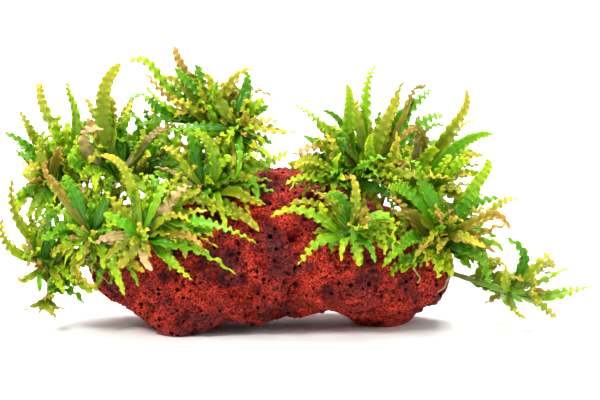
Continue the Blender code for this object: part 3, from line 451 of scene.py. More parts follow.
SHOOTS = (
    Shoot("left_end", (-101, -30, 45), (0, 0, 0), (
        Leaf((-108, 55), (-104, 70), 4, 6.5, "olive"),
        Leaf((-113, 47), (-123, 42), -6, 8.0, "green"),
        Leaf((-90, 32), (-84, 16), -12, 6.5, "lime"),
        Leaf((-92, 55), (-85, 63), -4, 6.0, "gold"),
    ), (
        Leaf((-108, 50), (-116, 50), 6, 5.0, "brown"),
        Leaf((-94, 50), (-87, 50), -10, 5.0, "lime"),
        Leaf((-89, 43), (-79, 45), -8, 6.0, "tan"),
        Leaf((-86, 34), (-76, 21), -16, 5.0, "green"),
        Leaf((-108, 30), (-97, 17), -4, 5.0, "gold"),
    ), 2),
    Shoot("left_front", (-75, -47, 44), (0, 0, 0), (
        Leaf((-62, 60), (-52, 71), -4, 7.0, "olive"),
        Leaf((-46, 52), (-19, 42), -10, 6.5, "green"),
        Leaf((-60, 41), (-28, 31), -12, 6.0, "green"),
        Leaf((-57, 46), (-44, 41), -14, 5.5, "brown"),
    ), (
        Leaf((-62, 33), (-50, 25), -10, 5.0, "lime"),
        Leaf((-52, 34), (-42, 24), -16, 5.0, "green"),
        Leaf((-74, 36), (-69, 29), -14, 5.0, "tan"),
        Leaf((-63, 54), (-50, 54), 2, 4.5, "gold"),
        Leaf((-84, 55), (-95, 68), 6, 5.5, "olive"),
        Leaf((-74, 58), (-72, 68), 4, 5.0, "lime"),
    ), 0),
    Shoot("left_top", (-45, -26, 68), (0, 0, 0), (
        Leaf((-22, 78), (-4, 83), 4, 7.0, "lime"),
        Leaf((-28, 71), (-12, 65), -6, 6.5, "green"),
        Leaf((-57, 84), (-67, 88), -4, 6.0, "gold"),
        Leaf((-41, 85), (-50, 98), -8, 6.0, "lime"),
    ), (
        Leaf((-28, 65), (-14, 60), -12, 5.5, "olive"),
        Leaf((-36, 80), (-20, 82), 12, 6.0, "green"),
        Leaf((-36, 84), (-23, 90), 18, 5.0, "lime"),
        Leaf((-56, 74), (-69, 80), -12, 4.5, "tan"),
        Leaf((-30, 58), (-19, 49), -18, 6.0, "tan"),
        Leaf((-54, 67), (-61, 70), -16, 4.5, "lime"),
    ), 2),
    Shoot("left_crest", (-45, -6, 104), (2, 0, 0), (
        Leaf((-53, 122), (-63, 138), -4, 6.0, "brown"),
        Leaf((-29, 114), (-10, 115), 2, 6.0, "brown"),
        Leaf((-64, 122), (-83, 135), 6, 6.0, "lime"),
        Leaf((-35, 116), (-23, 129), -8, 5.5, "gold"),
    ), (
        Leaf((-41, 112), (-38, 120), -12, 4.5, "green"),
        Leaf((-34, 102), (-25, 98), -12, 5.0, "brown"),
        Leaf((-33, 107), (-22, 103), 8, 4.5, "green"),
        Leaf((-22, 98), (-1, 93), -8, 4.5, "gold"),
        Leaf((-61, 113), (-74, 125), -6, 5.0, "brown"),
        Leaf((-62, 107), (-75, 118), -14, 5.0, "lime"),
    ), 3),
    Shoot("left_tall", (-93, -8, 86), (-2, 0, 0), (
        Leaf((-95, 108), (-87, 131), -4, 9.0, "olive"),
        Leaf((-104, 92), (-96, 100), -14, 7.0, "tan"),
    ), (
        Leaf((-74, 90), (-68, 99), -8, 5.0, "tan"),
        Leaf((-86, 106), (-77, 117), 8, 5.0, "green"),
        Leaf((-99, 100), (-109, 104), 4, 5.0, "tan"),
        Leaf((-99, 104), (-105, 114), 12, 4.0, "gold"),
        Leaf((-107, 84), (-107, 94), -12, 5.0, "lime"),
        Leaf((-98, 76), (-97, 68), -20, 5.5, "lime"),
        Leaf((-85, 80), (-76, 76), -16, 5.5, "green"),
    ), 3),
    Shoot("left_far", (-115, 4, 78), (-3, 0, 0), (
        Leaf((-125, 104), (-129, 122), -2, 5.5, "gold"),
        Leaf((-131, 88), (-146, 95), 2, 5.0, "green"),
        Leaf((-112, 104), (-116, 120), -6, 5.0, "lime"),
    ), (
        Leaf((-121, 100), (-118, 117), 8, 4.5, "brown"),
        Leaf((-129, 94), (-139, 106), -8, 5.0, "olive"),
        Leaf((-125, 79), (-136, 76), -8, 5.0, "gold"),
        Leaf((-126, 82), (-138, 82), -2, 4.0, "lime"),
        Leaf((-124, 70), (-134, 73), -16, 4.5, "gold"),
        Leaf((-126, 64), (-137, 68), 6, 5.0, "olive"),
    ), 3),
    Shoot("left_low", (-129, -10, 34), (-2, 0, -3), (
        Leaf((-138, 52), (-142, 74), -2, 5.5, "gold"),
        Leaf((-143, 39), (-147, 54), -8, 5.5, "gold"),
        Leaf((-121, 20), (-124, 11), -6, 6.0, "lime"),
    ), (
        Leaf((-120, 26), (-115, 22), -12, 5.0, "olive"),
        Leaf((-134, 23), (-139, 25), -8, 4.5, "gold"),
    ), 1),
    Shoot("left_back", (-76, 26, 84), (0, 2, 0), (
        Leaf((-80, 84), (-98, 96), 10, 7.0, "green"),
    ), (
        Leaf((-62, 92), (-54, 106), 8, 6.5, "lime"),
        Leaf((-84, 74), (-102, 70), 8, 6.0, "olive"),
        Leaf((-60, 80), (-46, 84), 10, 6.0, "green"),
    ), 7),
    Shoot("right_front", (28, -47, 49), (0, 0, 0), (
        Leaf((7, 56), (-13, 56), -4, 6.0, "green"),
        Leaf((11, 42), (2, 31), -10, 6.0, "lime"),
    ), (
        Leaf((14, 60), (-3, 61), 4, 5.0, "olive"),
        Leaf((23, 42), (21, 34), -14, 4.5, "lime"),
        Leaf((34, 41), (37, 32), -8, 5.0, "green"),
        Leaf((29, 64), (26, 75), -4, 5.5, "gold"),
        Leaf((22, 63), (14, 66), -12, 6.0, "green"),
    ), 0),
    Shoot("right_top", (36, -16, 76), (0, 0, 0), (
        Leaf((14, 97), (-3, 109), -4, 6.5, "green"),
        Leaf((26, 103), (26, 119), -10, 6.5, "olive"),
        Leaf((34, 108), (39, 129), 0, 6.0, "lime"),
        Leaf((52, 104), (69, 117), 2, 6.5, "green"),
        Leaf((32, 62), (38, 47), -22, 7.0, "gold"),
    ), (
        Leaf((17, 87), (-2, 86), -10, 6.5, "gold"),
        Leaf((24, 97), (13, 107), 6, 5.0, "green"),
        Leaf((42, 96), (49, 111), -8, 5.5, "brown"),
        Leaf((47, 84), (48, 94), -14, 6.0, "gold"),
        Leaf((36, 86), (36, 96), -20, 6.5, "lime"),
        Leaf((12, 90), (-4, 92), 6, 5.0, "green"),
        Leaf((13, 80), (-3, 77), -12, 6.0, "olive"),
        Leaf((10, 74), (-3, 71), -18, 6.0, "lime"),
        Leaf((46, 100), (51, 122), 10, 4.5, "olive"),
    ), 2),
    Shoot("right_crest", (64, -4, 68), (2, 0, 0), (
        Leaf((62, 80), (68, 90), -16, 7.0, "lime"),
        Leaf((79, 88), (96, 95), -4, 6.5, "green"),
        Leaf((77, 98), (87, 115), 2, 6.0, "tan"),
    ), (
        Leaf((54, 70), (45, 69), -18, 6.0, "lime"),
        Leaf((78, 92), (88, 105), 10, 4.5, "gold"),
        Leaf((79, 81), (93, 85), -12, 5.5, "gold"),
        Leaf((60, 90), (60, 104), 4, 5.0, "tan"),
        Leaf((55, 78), (50, 82), -12, 5.5, "brown"),
    ), 3),
    Shoot("right_end", (73, -22, 45), (0, 0, 0), (
        Leaf((88, 66), (97, 82), 0, 8.0, "lime"),
        Leaf((86, 36), (95, 21), -8, 7.5, "green"),
        Leaf((54, 43), (42, 30), -26, 7.5, "green"),
        Leaf((54, 56), (47, 64), -22, 7.0, "brown"),
    ), (
        Leaf((79, 64), (83, 80), -10, 7.0, "olive"),
        Leaf((90, 54), (105, 51), -6, 6.0, "gold"),
        Leaf((96, 56), (109, 64), 6, 5.0, "gold"),
        Leaf((70, 34), (69, 25), -20, 7.0, "lime"),
        Leaf((82, 44), (90, 39), -14, 5.0, "gold"),
        Leaf((70, 52), (69, 60), -16, 5.0, "gold"),
        Leaf((90, 43), (104, 39), 4, 5.0, "lime"),
    ), 2),
    Shoot("right_trailing", (114, -20, 17), (0, 0, -2), (
        Leaf((131, 15), (147, 22), 2, 6.0, "lime"),
        Leaf((113, 34), (104, 43), -2, 6.0, "green"),
    ), (
        Leaf((121, 9), (131, 4), -8, 6.0, "gold"),
        Leaf((119, 30), (126, 36), -6, 5.5, "gold"),
        Leaf((125, 23), (135, 30), 4, 5.0, "lime"),
        Leaf((106, 9), (112, 5), -14, 5.0, "olive"),
        Leaf((103, 23), (103, 32), -10, 5.0, "gold"),
    ), 2),
    Shoot("right_back", (50, 24, 80), (0, 2, 0), (
        Leaf((56, 84), (74, 94), 10, 7.0, "green"),
    ), (
        Leaf((30, 90), (18, 102), 8, 6.5, "lime"),
        Leaf((28, 76), (10, 78), 10, 6.0, "olive"),
        Leaf((60, 70), (80, 66), 6, 6.0, "green"),
    ), 7),
)


def place(across, depth, up):
    """The point that shows at across and up, seen from the front and a little above."""
    return np.array((across, depth, (up - depth * math.sin(VIEW_TILT)) / math.cos(VIEW_TILT)))


def plain_stone():
    """The stone's main form, which the stalks and leaves are set against and nobody sees: a cube
    grid blown up to a ball and drawn out to the stone's surface."""
    bm = bmesh.new()
    bmesh.ops.create_cube(bm, size=2.0)
    bmesh.ops.subdivide_edges(bm, edges=bm.edges[:], cuts=STONE_CUTS, use_grid_fill=True)
    cube = np.array([corner.co for corner in bm.verts])
    directions = unit(np.tan(cube * math.pi / 4) * np.array((1.35, 1.0, 1.0)))
    for corner, spot in zip(bm.verts, stone_surface(directions)):
        corner.co = spot
    return bm


def along_curve(start, via, end, shares):
    """Points on the parabola that leaves start, passes via halfway and stops at end."""
    control = 2 * via - (start + end) / 2
    share = np.asarray(shares)[:, None]
    return (1 - share) ** 2 * start + 2 * share * (1 - share) * control + share ** 2 * end


def headings(centres):
    """Unit directions of travel along a row of points."""
    return unit(np.gradient(centres, axis=0))


def leaf_rings(start, via, tip, width, face, shares, spare=0.0):
    """Four-cornered rings along a leaf: one margin, the keel, the other margin, the midrib.

    The leaf is narrow at its foot, widest before the middle and tapers to its tip. Past a
    third of its length the margins rise and fall in turn, one side against the other.
    """
    share = np.array(shares)
    centres = along_curve(start, via, tip, share)
    along = headings(centres)
    normal = unit(face - (along @ face)[:, None] * along)
    across = np.cross(along, normal)
    half = width / 2 * (0.28 + 0.72 * ease((share - 0.07) / 0.3)) * (1 - share ** 3.6)
    room = spare * (0.4 + 0.6 * ease(share / 0.15))
    half = np.maximum(half, 0.3) + room
    thick = LEAF_THICKNESS / 2 * (1.0 - 0.5 * share) + room
    turn = np.where(np.arange(len(share)) % 2, 1.0, -1.0)
    wave = 0.2 * width * ease((share - 0.25) / 0.3) * (1 - share ** 4) * turn
    side, rise = across * half[:, None], normal * thick[:, None]
    lift = normal * wave[:, None]
    return np.stack((centres + side + lift, centres - rise,
                     centres - side - lift, centres + rise), axis=1)


def tube_rings(centres, radii, sides):
    """Round rings of the given radii across a row of points, all turned the same way."""
    along = headings(centres)
    level = np.zeros(3)
    level[np.argmin(np.abs(centres[-1] - centres[0]))] = 1.0
    across = unit(np.cross(level, along))
    normal = np.cross(along, across)
    turns = np.arange(sides) * 2 * math.pi / sides
    ring = np.cos(turns)[None, :, None] * across[:, None] + np.sin(turns)[None, :, None] * normal[:, None]
    return centres[:, None] + ring * np.asarray(radii)[:, None, None]


def skin(rows, sides):
    """Faces between rings of corners, as corner indices.

    A leaf's ring has four corners, and every diagonal of its skin leaves a margin, so that
    its thin upper and lower sides bend alike and never meet. Round tubes keep whole quads.
    """
    faces = []
    for row in range(rows - 1):
        for side in range(sides):
            a, b = row * sides + side, row * sides + (side + 1) % sides
            c, d = b + sides, a + sides
            if sides != 4:
                faces.append((a, b, c, d))
            elif side % 2:
                faces += [(a, b, d), (b, c, d)]
            else:
                faces += [(a, b, c), (a, c, d)]
    return faces


def loft(rings):
    """Corner points and faces of a closed body that joins the rings in order."""
    rows, sides = rings.shape[:2]
    faces = skin(rows, sides)
    faces.append(tuple(range(sides - 1, -1, -1)))
    faces.append(tuple(range((rows - 1) * sides, rows * sides)))
    return rings.reshape(-1, 3), faces


def tree_of(rings):
    """A search tree of the closed body that joins the rings."""
    points, faces = loft(rings)
    return BVHTree.FromPolygons([tuple(point) for point in points], faces)


def spare_leaves(shoot, rng):
    """Small leaves for the side of a shoot that faces away from the viewer."""
    for number in range(shoot.spare):
        turn = math.radians(25 + 130 * (number + rng.uniform(0.3, 0.7)) / shoot.spare)
        reach = rng.uniform(22, 34)
        rise = rng.uniform(-8, 20)
        x, depth, up = shoot.crown
        lean = reach * math.sin(turn)
        tip = (x + reach * math.cos(turn), up + rise + lean * math.sin(VIEW_TILT))
        via = (x + 0.5 * reach * math.cos(turn), up + 0.5 * rise + 6)
        tone = ("green", "lime", "olive", "gold")[int(rng.integers(4))]
        yield Leaf(via, tip, lean, rng.uniform(5.0, 7.0), tone)


def stalk_centres(shoot, stone_tree):
    """The middle line of a stalk, from just above the stone to the crown."""
    crown = place(*shoot.crown)
    foot, out, _, _ = stone_tree.find_nearest(tuple(crown))
    foot = np.array(foot) + np.array(out) * (GAP + 0.5)
    via = (foot + crown) / 2 + np.array(shoot.bow, float)
    length = np.linalg.norm(crown - foot)
    zone = min(LEAF_ZONE / length, 0.85)
    shares = np.concatenate(((0.0,), np.linspace(1 - zone, 1.0, STALK_ROWS + 1)))
    return along_curve(foot, via, crown, shares)


def stalk_rings(centres):
    """Rings of a stalk that swells where it carries leaves and rounds off at its top."""
    radii = STALK_RADIUS + STALK_SWELL * np.array([-1.6, 0.6] + [1.0] * (STALK_ROWS - 1) + [-1.5])
    return tube_rings(centres, radii, STALK_SIDES)


def stalk_faces(rings):
    """The four-cornered side faces of a stalk's leafy rows, with their index in the stalk's body."""
    rows = range(1, STALK_ROWS + 1)
    following = [(side + 1) % STALK_SIDES for side in range(STALK_SIDES)]
    return {row * STALK_SIDES + side: np.array((rings[row, side], rings[row, following[side]],
                                                rings[row + 1, following[side]], rings[row + 1, side]))
            for row in rows for side in range(STALK_SIDES)}


def free_faces(faces, spot, used):
    """Indices of the unused side faces near a spot, those that touch a used face last."""
    def crowding(index):
        row, side = divmod(index, STALK_SIDES)
        touching = [other for other in used if abs(other // STALK_SIDES - row) < 2
                    and (other - side) % STALK_SIDES in (0, 1, STALK_SIDES - 1)]
        return np.linalg.norm(faces[index].mean(axis=0) - spot) + TOUCHING_COST * len(touching)
    return sorted((index for index in faces if index not in used), key=crowding)[:FACES_TRIED]


def body_of(rings, quad, share):
    """The rings of a grown leaf, with its foot set on the stalk's side face, drawn in by a share."""
    body = rings.copy()
    middle = quad.mean(axis=0)
    body[0] = middle + share * (turned_to(quad, rings[1]) - middle)
    return body


def settle(shoot, stalk, leaf, level, shares, faces, used, blocks, own_stalk, grown, roll):
    """Rings and path of one leaf, leaned back or forward until it clears every block in place.

    A leaf that is grown with the stalk starts on one of the stalk's side faces. Any other
    starts a hair's breadth off the stalk.
    """
    zone = stalk[1:-1]
    axis = unit(zone[-1] - zone[0])
    for shift, push in TRIES:
        place_on = min(max(level + shift, 0.0), 1.0) * (len(zone) - 1)
        row = min(int(place_on), len(zone) - 2)
        axis_point = zone[row] + (zone[row + 1] - zone[row]) * (place_on - row)
        lean = leaf.lean + push
        tip = place(leaf.tip[0], shoot.crown[1] + lean, leaf.tip[1])
        via = place(leaf.via[0], shoot.crown[1] + 0.45 * lean, leaf.via[1])
        if min(tip[2], via[2]) < LOWEST_LEAF:
            continue
        out = via - axis_point
        out = unit(out - (out @ axis) * axis * 0.8)
        toward = -1.0 if lean < 14 else 1.0
        face = unit(np.array((math.sin(roll), toward * 0.8, 0.62)))
        spot = axis_point + out * (STALK_RADIUS + STALK_SWELL + GAP + 0.6)
        if not faces:
            rings = leaf_rings(spot, via, tip, leaf.width, face, shares)
            test = tree_of(leaf_rings(spot, via, tip, leaf.width, face, shares, spare=LEAF_ROOM))
            if not any(test.overlap(block) for block in blocks):
                return rings, None, (spot, via, tip, face)
            continue
        for foot in free_faces(faces, spot, used):
            start = faces[foot].mean(axis=0)
            looks = unit(np.cross(faces[foot][1] - faces[foot][0], faces[foot][3] - faces[foot][0]))
            rings = leaf_rings(start, via, tip, leaf.width, face, shares)
            sides = unit(rings[1:, 0] - rings[1:, 2])
            if (looks @ unit(rings[1].mean(axis=0) - start) < LEAST_OUTWARD
                    or ((rings[1:3] - start) @ looks).min() < LEAST_OFF
                    or np.sum(sides[1:] * sides[:-1], axis=1).min() < LEAST_AGREEMENT):
                continue
            wide = leaf_rings(start, via, tip, leaf.width, face, shares, spare=LEAF_ROOM)
            full = tree_of(body_of(wide, faces[foot], 1.0))
            drawn_in = [tree_of(body_of(body, faces[foot], NEAR_WHOLE)) for body in (wide, rings)]
            if (not tree_of(rings[1:]).overlap(own_stalk)
                    and not any(full.overlap(block) for block in blocks)
                    and not any(body.overlap(block) for block in grown for body in drawn_in)):
                return rings, foot, (start, via, tip, face)
    return None, None, None


def turned_to(ring, target):
    """The ring, with the corner order turned to lie nearest the corners of the target."""
    turns = [np.roll(ring, shift, axis=0) for shift in range(len(ring))]
    return min(turns, key=lambda turned: np.linalg.norm(turned - target, axis=1).sum())


def settle_all(stone_tree):
    """The stalks' middle lines and every leaf's path: the outer leaves of all shoots first."""
    rng = np.random.default_rng(SEED)
    stalks = {shoot.name: stalk_centres(shoot, stone_tree) for shoot in SHOOTS}
    stalk_trees = {name: tree_of(stalk_rings(centres)) for name, centres in stalks.items()}
    outer_trees, inner_trees = [], []
    settled = {}
    for kind, shares in (("outer", OUTER_SHARES), ("inner", INNER_SHARES)):
        for shoot in SHOOTS:
            leaves = list(getattr(shoot, kind))
            blocks = [stone_tree] + outer_trees + [tree for name, tree in stalk_trees.items()
                                                   if kind == "outer" or name != shoot.name]
            faces, used = {}, set()
            low, high = OUTER_LEVELS
            if kind == "inner":
                leaves += spare_leaves(shoot, rng)
                faces = stalk_faces(stalk_rings(stalks[shoot.name]))
                low, high = INNER_LEVELS
            for number, leaf in enumerate(leaves):
                level = low + (high - low) * (number + 0.5) / len(leaves)
                roll = rng.uniform(-LEAF_ROLL, LEAF_ROLL)
                rings, foot, path = settle(shoot, stalks[shoot.name], leaf, level, shares, faces, used,
                                           blocks, stalk_trees[shoot.name], inner_trees, roll)
                if rings is None:
                    continue
                settled[shoot.name, kind, number] = (path, leaf.width, leaf.tone)
                if kind == "outer":
                    outer_trees.append(tree_of(rings))
                    blocks.append(outer_trees[-1])
                else:
                    used.add(foot)
                    inner_trees.append(tree_of(body_of(rings, faces[foot], NEAR_WHOLE)))
    return stalks, settled


guide = plain_stone()
stone_tree = BVHTree.FromBMesh(guide)
guide.free()
stalks, settled = settle_all(stone_tree)


# A leaf is a lance-shaped blade, smooth and channelled at its foot and tightly crimped along both
# margins from a third of its length on, with a raised midrib. It is thin, juicy and wet.

ACROSS = (-1.0, -0.86, -0.64, -0.4, -0.13, 0.0, 0.13, 0.4, 0.64, 0.86, 1.0)   # share of the half width
ACROSS_SMALL = (-1.0, -0.62, -0.2, 0.0, 0.2, 0.62, 1.0)
ROWS_PER_MM = 1.6               # along a leaf; fewer on the small ones
BLADE_THICKNESS = 0.5
CRIMP_LENGTH = (4.2, 5.8)       # length of one wave of the margin
TONES = {                       # colours at the foot, the middle, the tip, of the margin and of the midrib
    # The deep green is darker than the leaves' own colour, as painted shade for leaves deep in the clumps.
    "green": ((0.010, 0.075, 0.001), (0.034, 0.195, 0.001), (0.160, 0.390, 0.003), (0.240, 0.460, 0.005),
              (0.110, 0.310, 0.008)),
    # A lighter copy of the deep green: painted light for leaves at the front of the clumps.
    "bright": ((0.030, 0.165, 0.002), (0.085, 0.330, 0.003), (0.260, 0.500, 0.006), (0.320, 0.540, 0.008),
               (0.160, 0.420, 0.012)),
    "lime": ((0.055, 0.230, 0.002), (0.190, 0.420, 0.003), (0.460, 0.590, 0.008), (0.470, 0.600, 0.010),
             (0.330, 0.500, 0.040)),
    "gold": ((0.070, 0.210, 0.002), (0.240, 0.370, 0.004), (0.600, 0.480, 0.030), (0.620, 0.440, 0.040),
             (0.330, 0.190, 0.030)),
    "olive": ((0.045, 0.170, 0.002), (0.160, 0.290, 0.003), (0.450, 0.450, 0.012), (0.500, 0.420, 0.020),
              (0.280, 0.120, 0.020)),
    "tan": ((0.150, 0.200, 0.020), (0.420, 0.310, 0.110), (0.600, 0.420, 0.180), (0.640, 0.450, 0.200),
            (0.560, 0.400, 0.220)),
    "brown": ((0.070, 0.160, 0.004), (0.240, 0.220, 0.012), (0.500, 0.280, 0.045), (0.560, 0.330, 0.060),
              (0.240, 0.090, 0.015)),
}


def sheet_ring(across):
    """Positions across a closed leaf section, and 1 on its upper skin, -1 on its lower, 0 between."""
    across = np.array(across)
    return (np.concatenate((across, across[-2:0:-1])),
            np.concatenate((np.sign(1 - across ** 2), -np.ones(len(across) - 2))))


def blade(path, width, tone, rng, across=ACROSS, rows_per_mm=ROWS_PER_MM):
    """Points, faces, colours and map of one leaf, over s from foot to tip and v from margin to margin.

    The midrib is a parabola that sways and ends in a small hook. The half width grows to its full
    size by three tenths of s and narrows to a quarter at the tip. A point lies v half widths to the
    side, turned by a twist that grows towards the tip, and is lifted by fold |v| +
    crimp |v|^1.6 sin(p), where p counts the waves along each margin. The margin is drawn along the
    leaf by sin(2p) v^2, which makes the waves steep, and out and in by cos(2p).
    """
    start, via, tip, face = path
    length = np.linalg.norm(via - start) + np.linalg.norm(tip - via)
    s = np.linspace(0, 1, int(np.clip(length * rows_per_mm, 16, 56)))
    centres = along_curve(start, via, tip, s)
    along = headings(centres)
    normal = unit(face - (along @ face)[:, None] * along)
    side = np.cross(along, normal)
    scale = length / 30.0
    hook = np.clip(s - 0.7, 0, 1)[:, None] ** 2 * 12.0 * scale
    centres = centres + hook * (rng.uniform(-2.0, 2.0) * side + rng.uniform(-2.8, 1.2) * normal)
    sway = np.sin(math.pi * s)[:, None] * np.sin(4.4 * s + rng.uniform(0, 6))[:, None] * scale
    centres = centres + sway * (rng.uniform(-1.5, 1.5) * side + rng.uniform(-1.2, 1.2) * normal)
    twist = rng.uniform(-1.6, 1.6) * min(1.0, (5.5 / width) ** 2) * ease((s - 0.35) / 0.65)
    side, normal = (side * np.cos(twist)[:, None] + normal * np.sin(twist)[:, None],
                    normal * np.cos(twist)[:, None] - side * np.sin(twist)[:, None])
    v, skin_side = sheet_ring(across)
    s, v, skin_side = s[:, None], v[None, :], skin_side[None, :]
    waves = length / rng.uniform(*CRIMP_LENGTH)
    turns = 2 * math.pi * waves * s ** 1.2 + rng.uniform(0, 6) + 0.7 * np.sin(7 * s + rng.uniform(0, 6))
    turns = turns + np.where(v < 0, rng.uniform(-0.7, 0.7) + rng.uniform(-1.5, 1.5) * s, 0.0)
    crimp = ease((s - rng.uniform(0.12, 0.36)) / 0.35)
    taper = rng.uniform(0.3, 0.6)
    narrowing = rng.uniform(0.5, 0.72)
    half = width / 2 * (0.38 + 0.62 * ease(s / 0.35)) * (1 - narrowing * np.clip((s - taper) / (1.0 - taper), 0, 1))
    half = half * np.sqrt(np.clip((1.0 - s) / 0.08, 0.02, 1)) + 0.05
    depth = np.minimum(half * (0.04 + rng.uniform(0.5, 0.85) * crimp), 1.5)
    fold = rng.uniform(0.05, 0.45) * (1 - 0.5 * s)
    lift = half * fold * np.abs(v) + depth * np.abs(v) ** 1.6 * np.sin(turns)
    drawn_in = 1 + crimp * np.abs(v) * ((0.24 - 0.1 * s) * np.cos(2 * turns) - 0.03)
    forward = -0.3 * crimp * v ** 2 * np.sin(2 * turns)
    thick = BLADE_THICKNESS * (0.5 - 0.25 * s) * np.sqrt(np.clip(1 - v ** 2, 0, 1))
    rib = np.exp(-(v / 0.16) ** 2) * (1 - 0.7 * s)
    thick = thick + np.where(skin_side < 0, 0.30, 0.06) * rib * np.minimum(half, 1.0)
    points = (centres[:, None] + side[:, None] * (half * drawn_in * v)[..., None]
              + normal[:, None] * (lift + skin_side * thick)[..., None] + along[:, None] * forward[..., None])
    low, middle, high, rim, rib_colour = (np.array(colour) for colour in TONES[tone])
    to_middle, to_tip = ease(s / 0.5)[..., None], ease((s - 0.45) / 0.5)[..., None]
    tint = (low + (middle - low) * to_middle + (high - middle) * to_tip) * rng.uniform(0.8, 1.15)
    tint = tint + (rim - tint) * (0.65 * np.abs(v) ** 2 * (0.25 + 0.75 * crimp))[..., None]
    # Painted light and shade: the crests of the crimped margin are lighter and its troughs darker.
    tint = tint * (1 + 0.3 * np.sin(turns) * crimp * np.abs(v))[..., None]
    tint = tint + (rib_colour - tint) * (0.8 * np.exp(-(v / 0.13) ** 2) * (1 - 0.6 * s))[..., None]
    pale = 0.5 * tint + 0.5 * np.array((0.24, 0.33, 0.02))
    tint = np.where(skin_side[..., None] < 0, tint + (pale - tint) * 0.3, tint)
    uv = np.stack(((v + 1) / 2 + 0 * s, s + 0 * v), axis=-1)
    return strip(points, tint, uv)


def strip(points, tint, uv):
    """A closed body from rings of points in order, with a middle point to shut each end."""
    rows, ring = points.shape[:2]
    row = np.arange(rows - 1)[:, None] * ring
    here, following = np.arange(ring), (np.arange(ring) + 1) % ring
    quads = np.stack((row + here, row + following, row + ring + following, row + ring + here), -1)
    first, last = rows * ring, rows * ring + 1
    start = np.stack((np.full(ring, first), following, here), -1)
    end_row = (rows - 1) * ring
    end = np.stack((np.full(ring, last), end_row + here, end_row + following), -1)
    join = [np.concatenate((grid.reshape(rows * ring, -1), grid[:1].mean(axis=1), grid[-1:].mean(axis=1)))
            for grid in (points, tint, uv)]
    return join[0], [quads.reshape(-1, 4), start, end], join[1], join[2]


def gather(parts):
    """Points, faces, colours and map of several bodies as one."""
    count, faces = 0, []
    for points, groups, _, _ in parts:
        for group in groups:
            faces += (group + count).tolist()
        count += len(points)
    return (np.concatenate([part[0] for part in parts]), faces,
            np.concatenate([part[2] for part in parts]), np.concatenate([part[3] for part in parts]))


def make_leaf_skin(name, gloss, glow):
    """Living leaf: its own tint, mottled, with side veins that leave the midrib at a slant, and
    wet. Gloss is its roughness, and glow how much light passes into it."""
    material, tree, shader, spot = new_material(name)
    own = attribute(tree, "tint", "Color")
    mottle = ramp(tree, noise(tree, spot, 260.0, 3.0), (0.3, (0.80, 0.84, 0.75)), (0.7, (1.18, 1.14, 1.20)))
    colour = blend(tree, "MULTIPLY", 1.0, own, mottle)
    fleck = ramp(tree, noise(tree, spot, 1100.0, 2.0), (0.62, (1.0, 1.0, 1.0)), (0.78, (1.25, 1.12, 1.0)))
    colour = blend(tree, "MULTIPLY", 0.6, colour, fleck)
    tree.links.new(colour, shader.inputs["Base Color"])
    across = tree.nodes.new("ShaderNodeSeparateXYZ")
    uv = tree.nodes.new("ShaderNodeUVMap")
    uv.uv_map = "leaf"
    tree.links.new(uv.outputs["UV"], across.inputs[0])
    from_rib = number_node(tree, "ABSOLUTE", number_node(tree, "SUBTRACT", across.outputs[0], 0.5), 0.0)
    slant = number_node(tree, "SUBTRACT", number_node(tree, "MULTIPLY", across.outputs[1], 105.0),
                        number_node(tree, "MULTIPLY", from_rib, 26.0))
    veins = number_node(tree, "SINE", slant, 0.0)
    pitted = bump(tree, noise(tree, spot, 700.0, 3.0), 0.00018, 0.5)
    tree.links.new(bump(tree, veins, 0.00008, 0.25, pitted), shader.inputs["Normal"])
    wet = ramp(tree, noise(tree, spot, 180.0, 2.0), (0.35, (gloss - 0.1,) * 3), (0.7, (gloss + 0.12,) * 3))
    tree.links.new(wet, shader.inputs["Roughness"])
    shader.inputs["Subsurface Weight"].default_value = glow
    shader.inputs["Subsurface Radius"].default_value = (0.6, 1.0, 0.15)
    shader.inputs["Subsurface Scale"].default_value = 0.0008
    shader.inputs["Specular IOR Level"].default_value = 0.22
    return material


SKINS = {
    "green": make_leaf_skin("green_leaf", 0.24, 0.22),
    "bright": make_leaf_skin("bright_green_leaf", 0.24, 0.26),
    "lime": make_leaf_skin("lime_leaf", 0.25, 0.28),
    "gold": make_leaf_skin("golden_leaf", 0.26, 0.25),
    "olive": make_leaf_skin("olive_leaf", 0.25, 0.20),
    "tan": make_leaf_skin("tan_leaf", 0.24, 0.16),
    "brown": make_leaf_skin("brown_leaf", 0.27, 0.16),
}


# The larger leaves of each shoot, two to five of them, hold to the stalk at their foot.

TURNED = {                      # leaves whose colour differs from that of their kind
    ("left_front", "outer", 0): "tan", ("left_end", "outer", 0): "tan", ("right_top", "outer", 0): "lime",
    ("right_top", "outer", 1): "lime", ("right_crest", "outer", 2): "gold", ("right_end", "inner", 1): "brown",
    ("right_top", "inner", 0): "brown", ("left_top", "inner", 4): "olive",
    ("left_front", "outer", 1): "bright", ("left_front", "outer", 2): "bright",
    ("right_end", "outer", 2): "bright", ("right_crest", "outer", 1): "bright",
    ("right_front", "outer", 0): "lime", ("left_front", "inner", 1): "bright",
}
leaf_rng = np.random.default_rng(SEED + 2)
for (shoot_name, kind, number), (path, width, tone) in settled.items():
    if kind == "outer":
        start, via, tip, face = path
        look = TURNED.get((shoot_name, kind, number), tone)
        into_stalk = start - unit(via - start) * 2.0
        points, faces, tint, uv = gather([blade((into_stalk, via, tip, face), width, look, leaf_rng)])
        large_leaf = new_piece(f"{shoot_name}_large_leaf_{number + 1}", points, faces, SKINS[look],
                               colours={"tint": tint}, uvs=uv)
        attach(large_leaf, "root")
        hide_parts(f"{shoot_name}_leaf_{number + 1}")


# A shoot is the stalk, green above and brownish where it is old, with its smaller leaves. They
# stand all round it and close together, the youngest at the top.

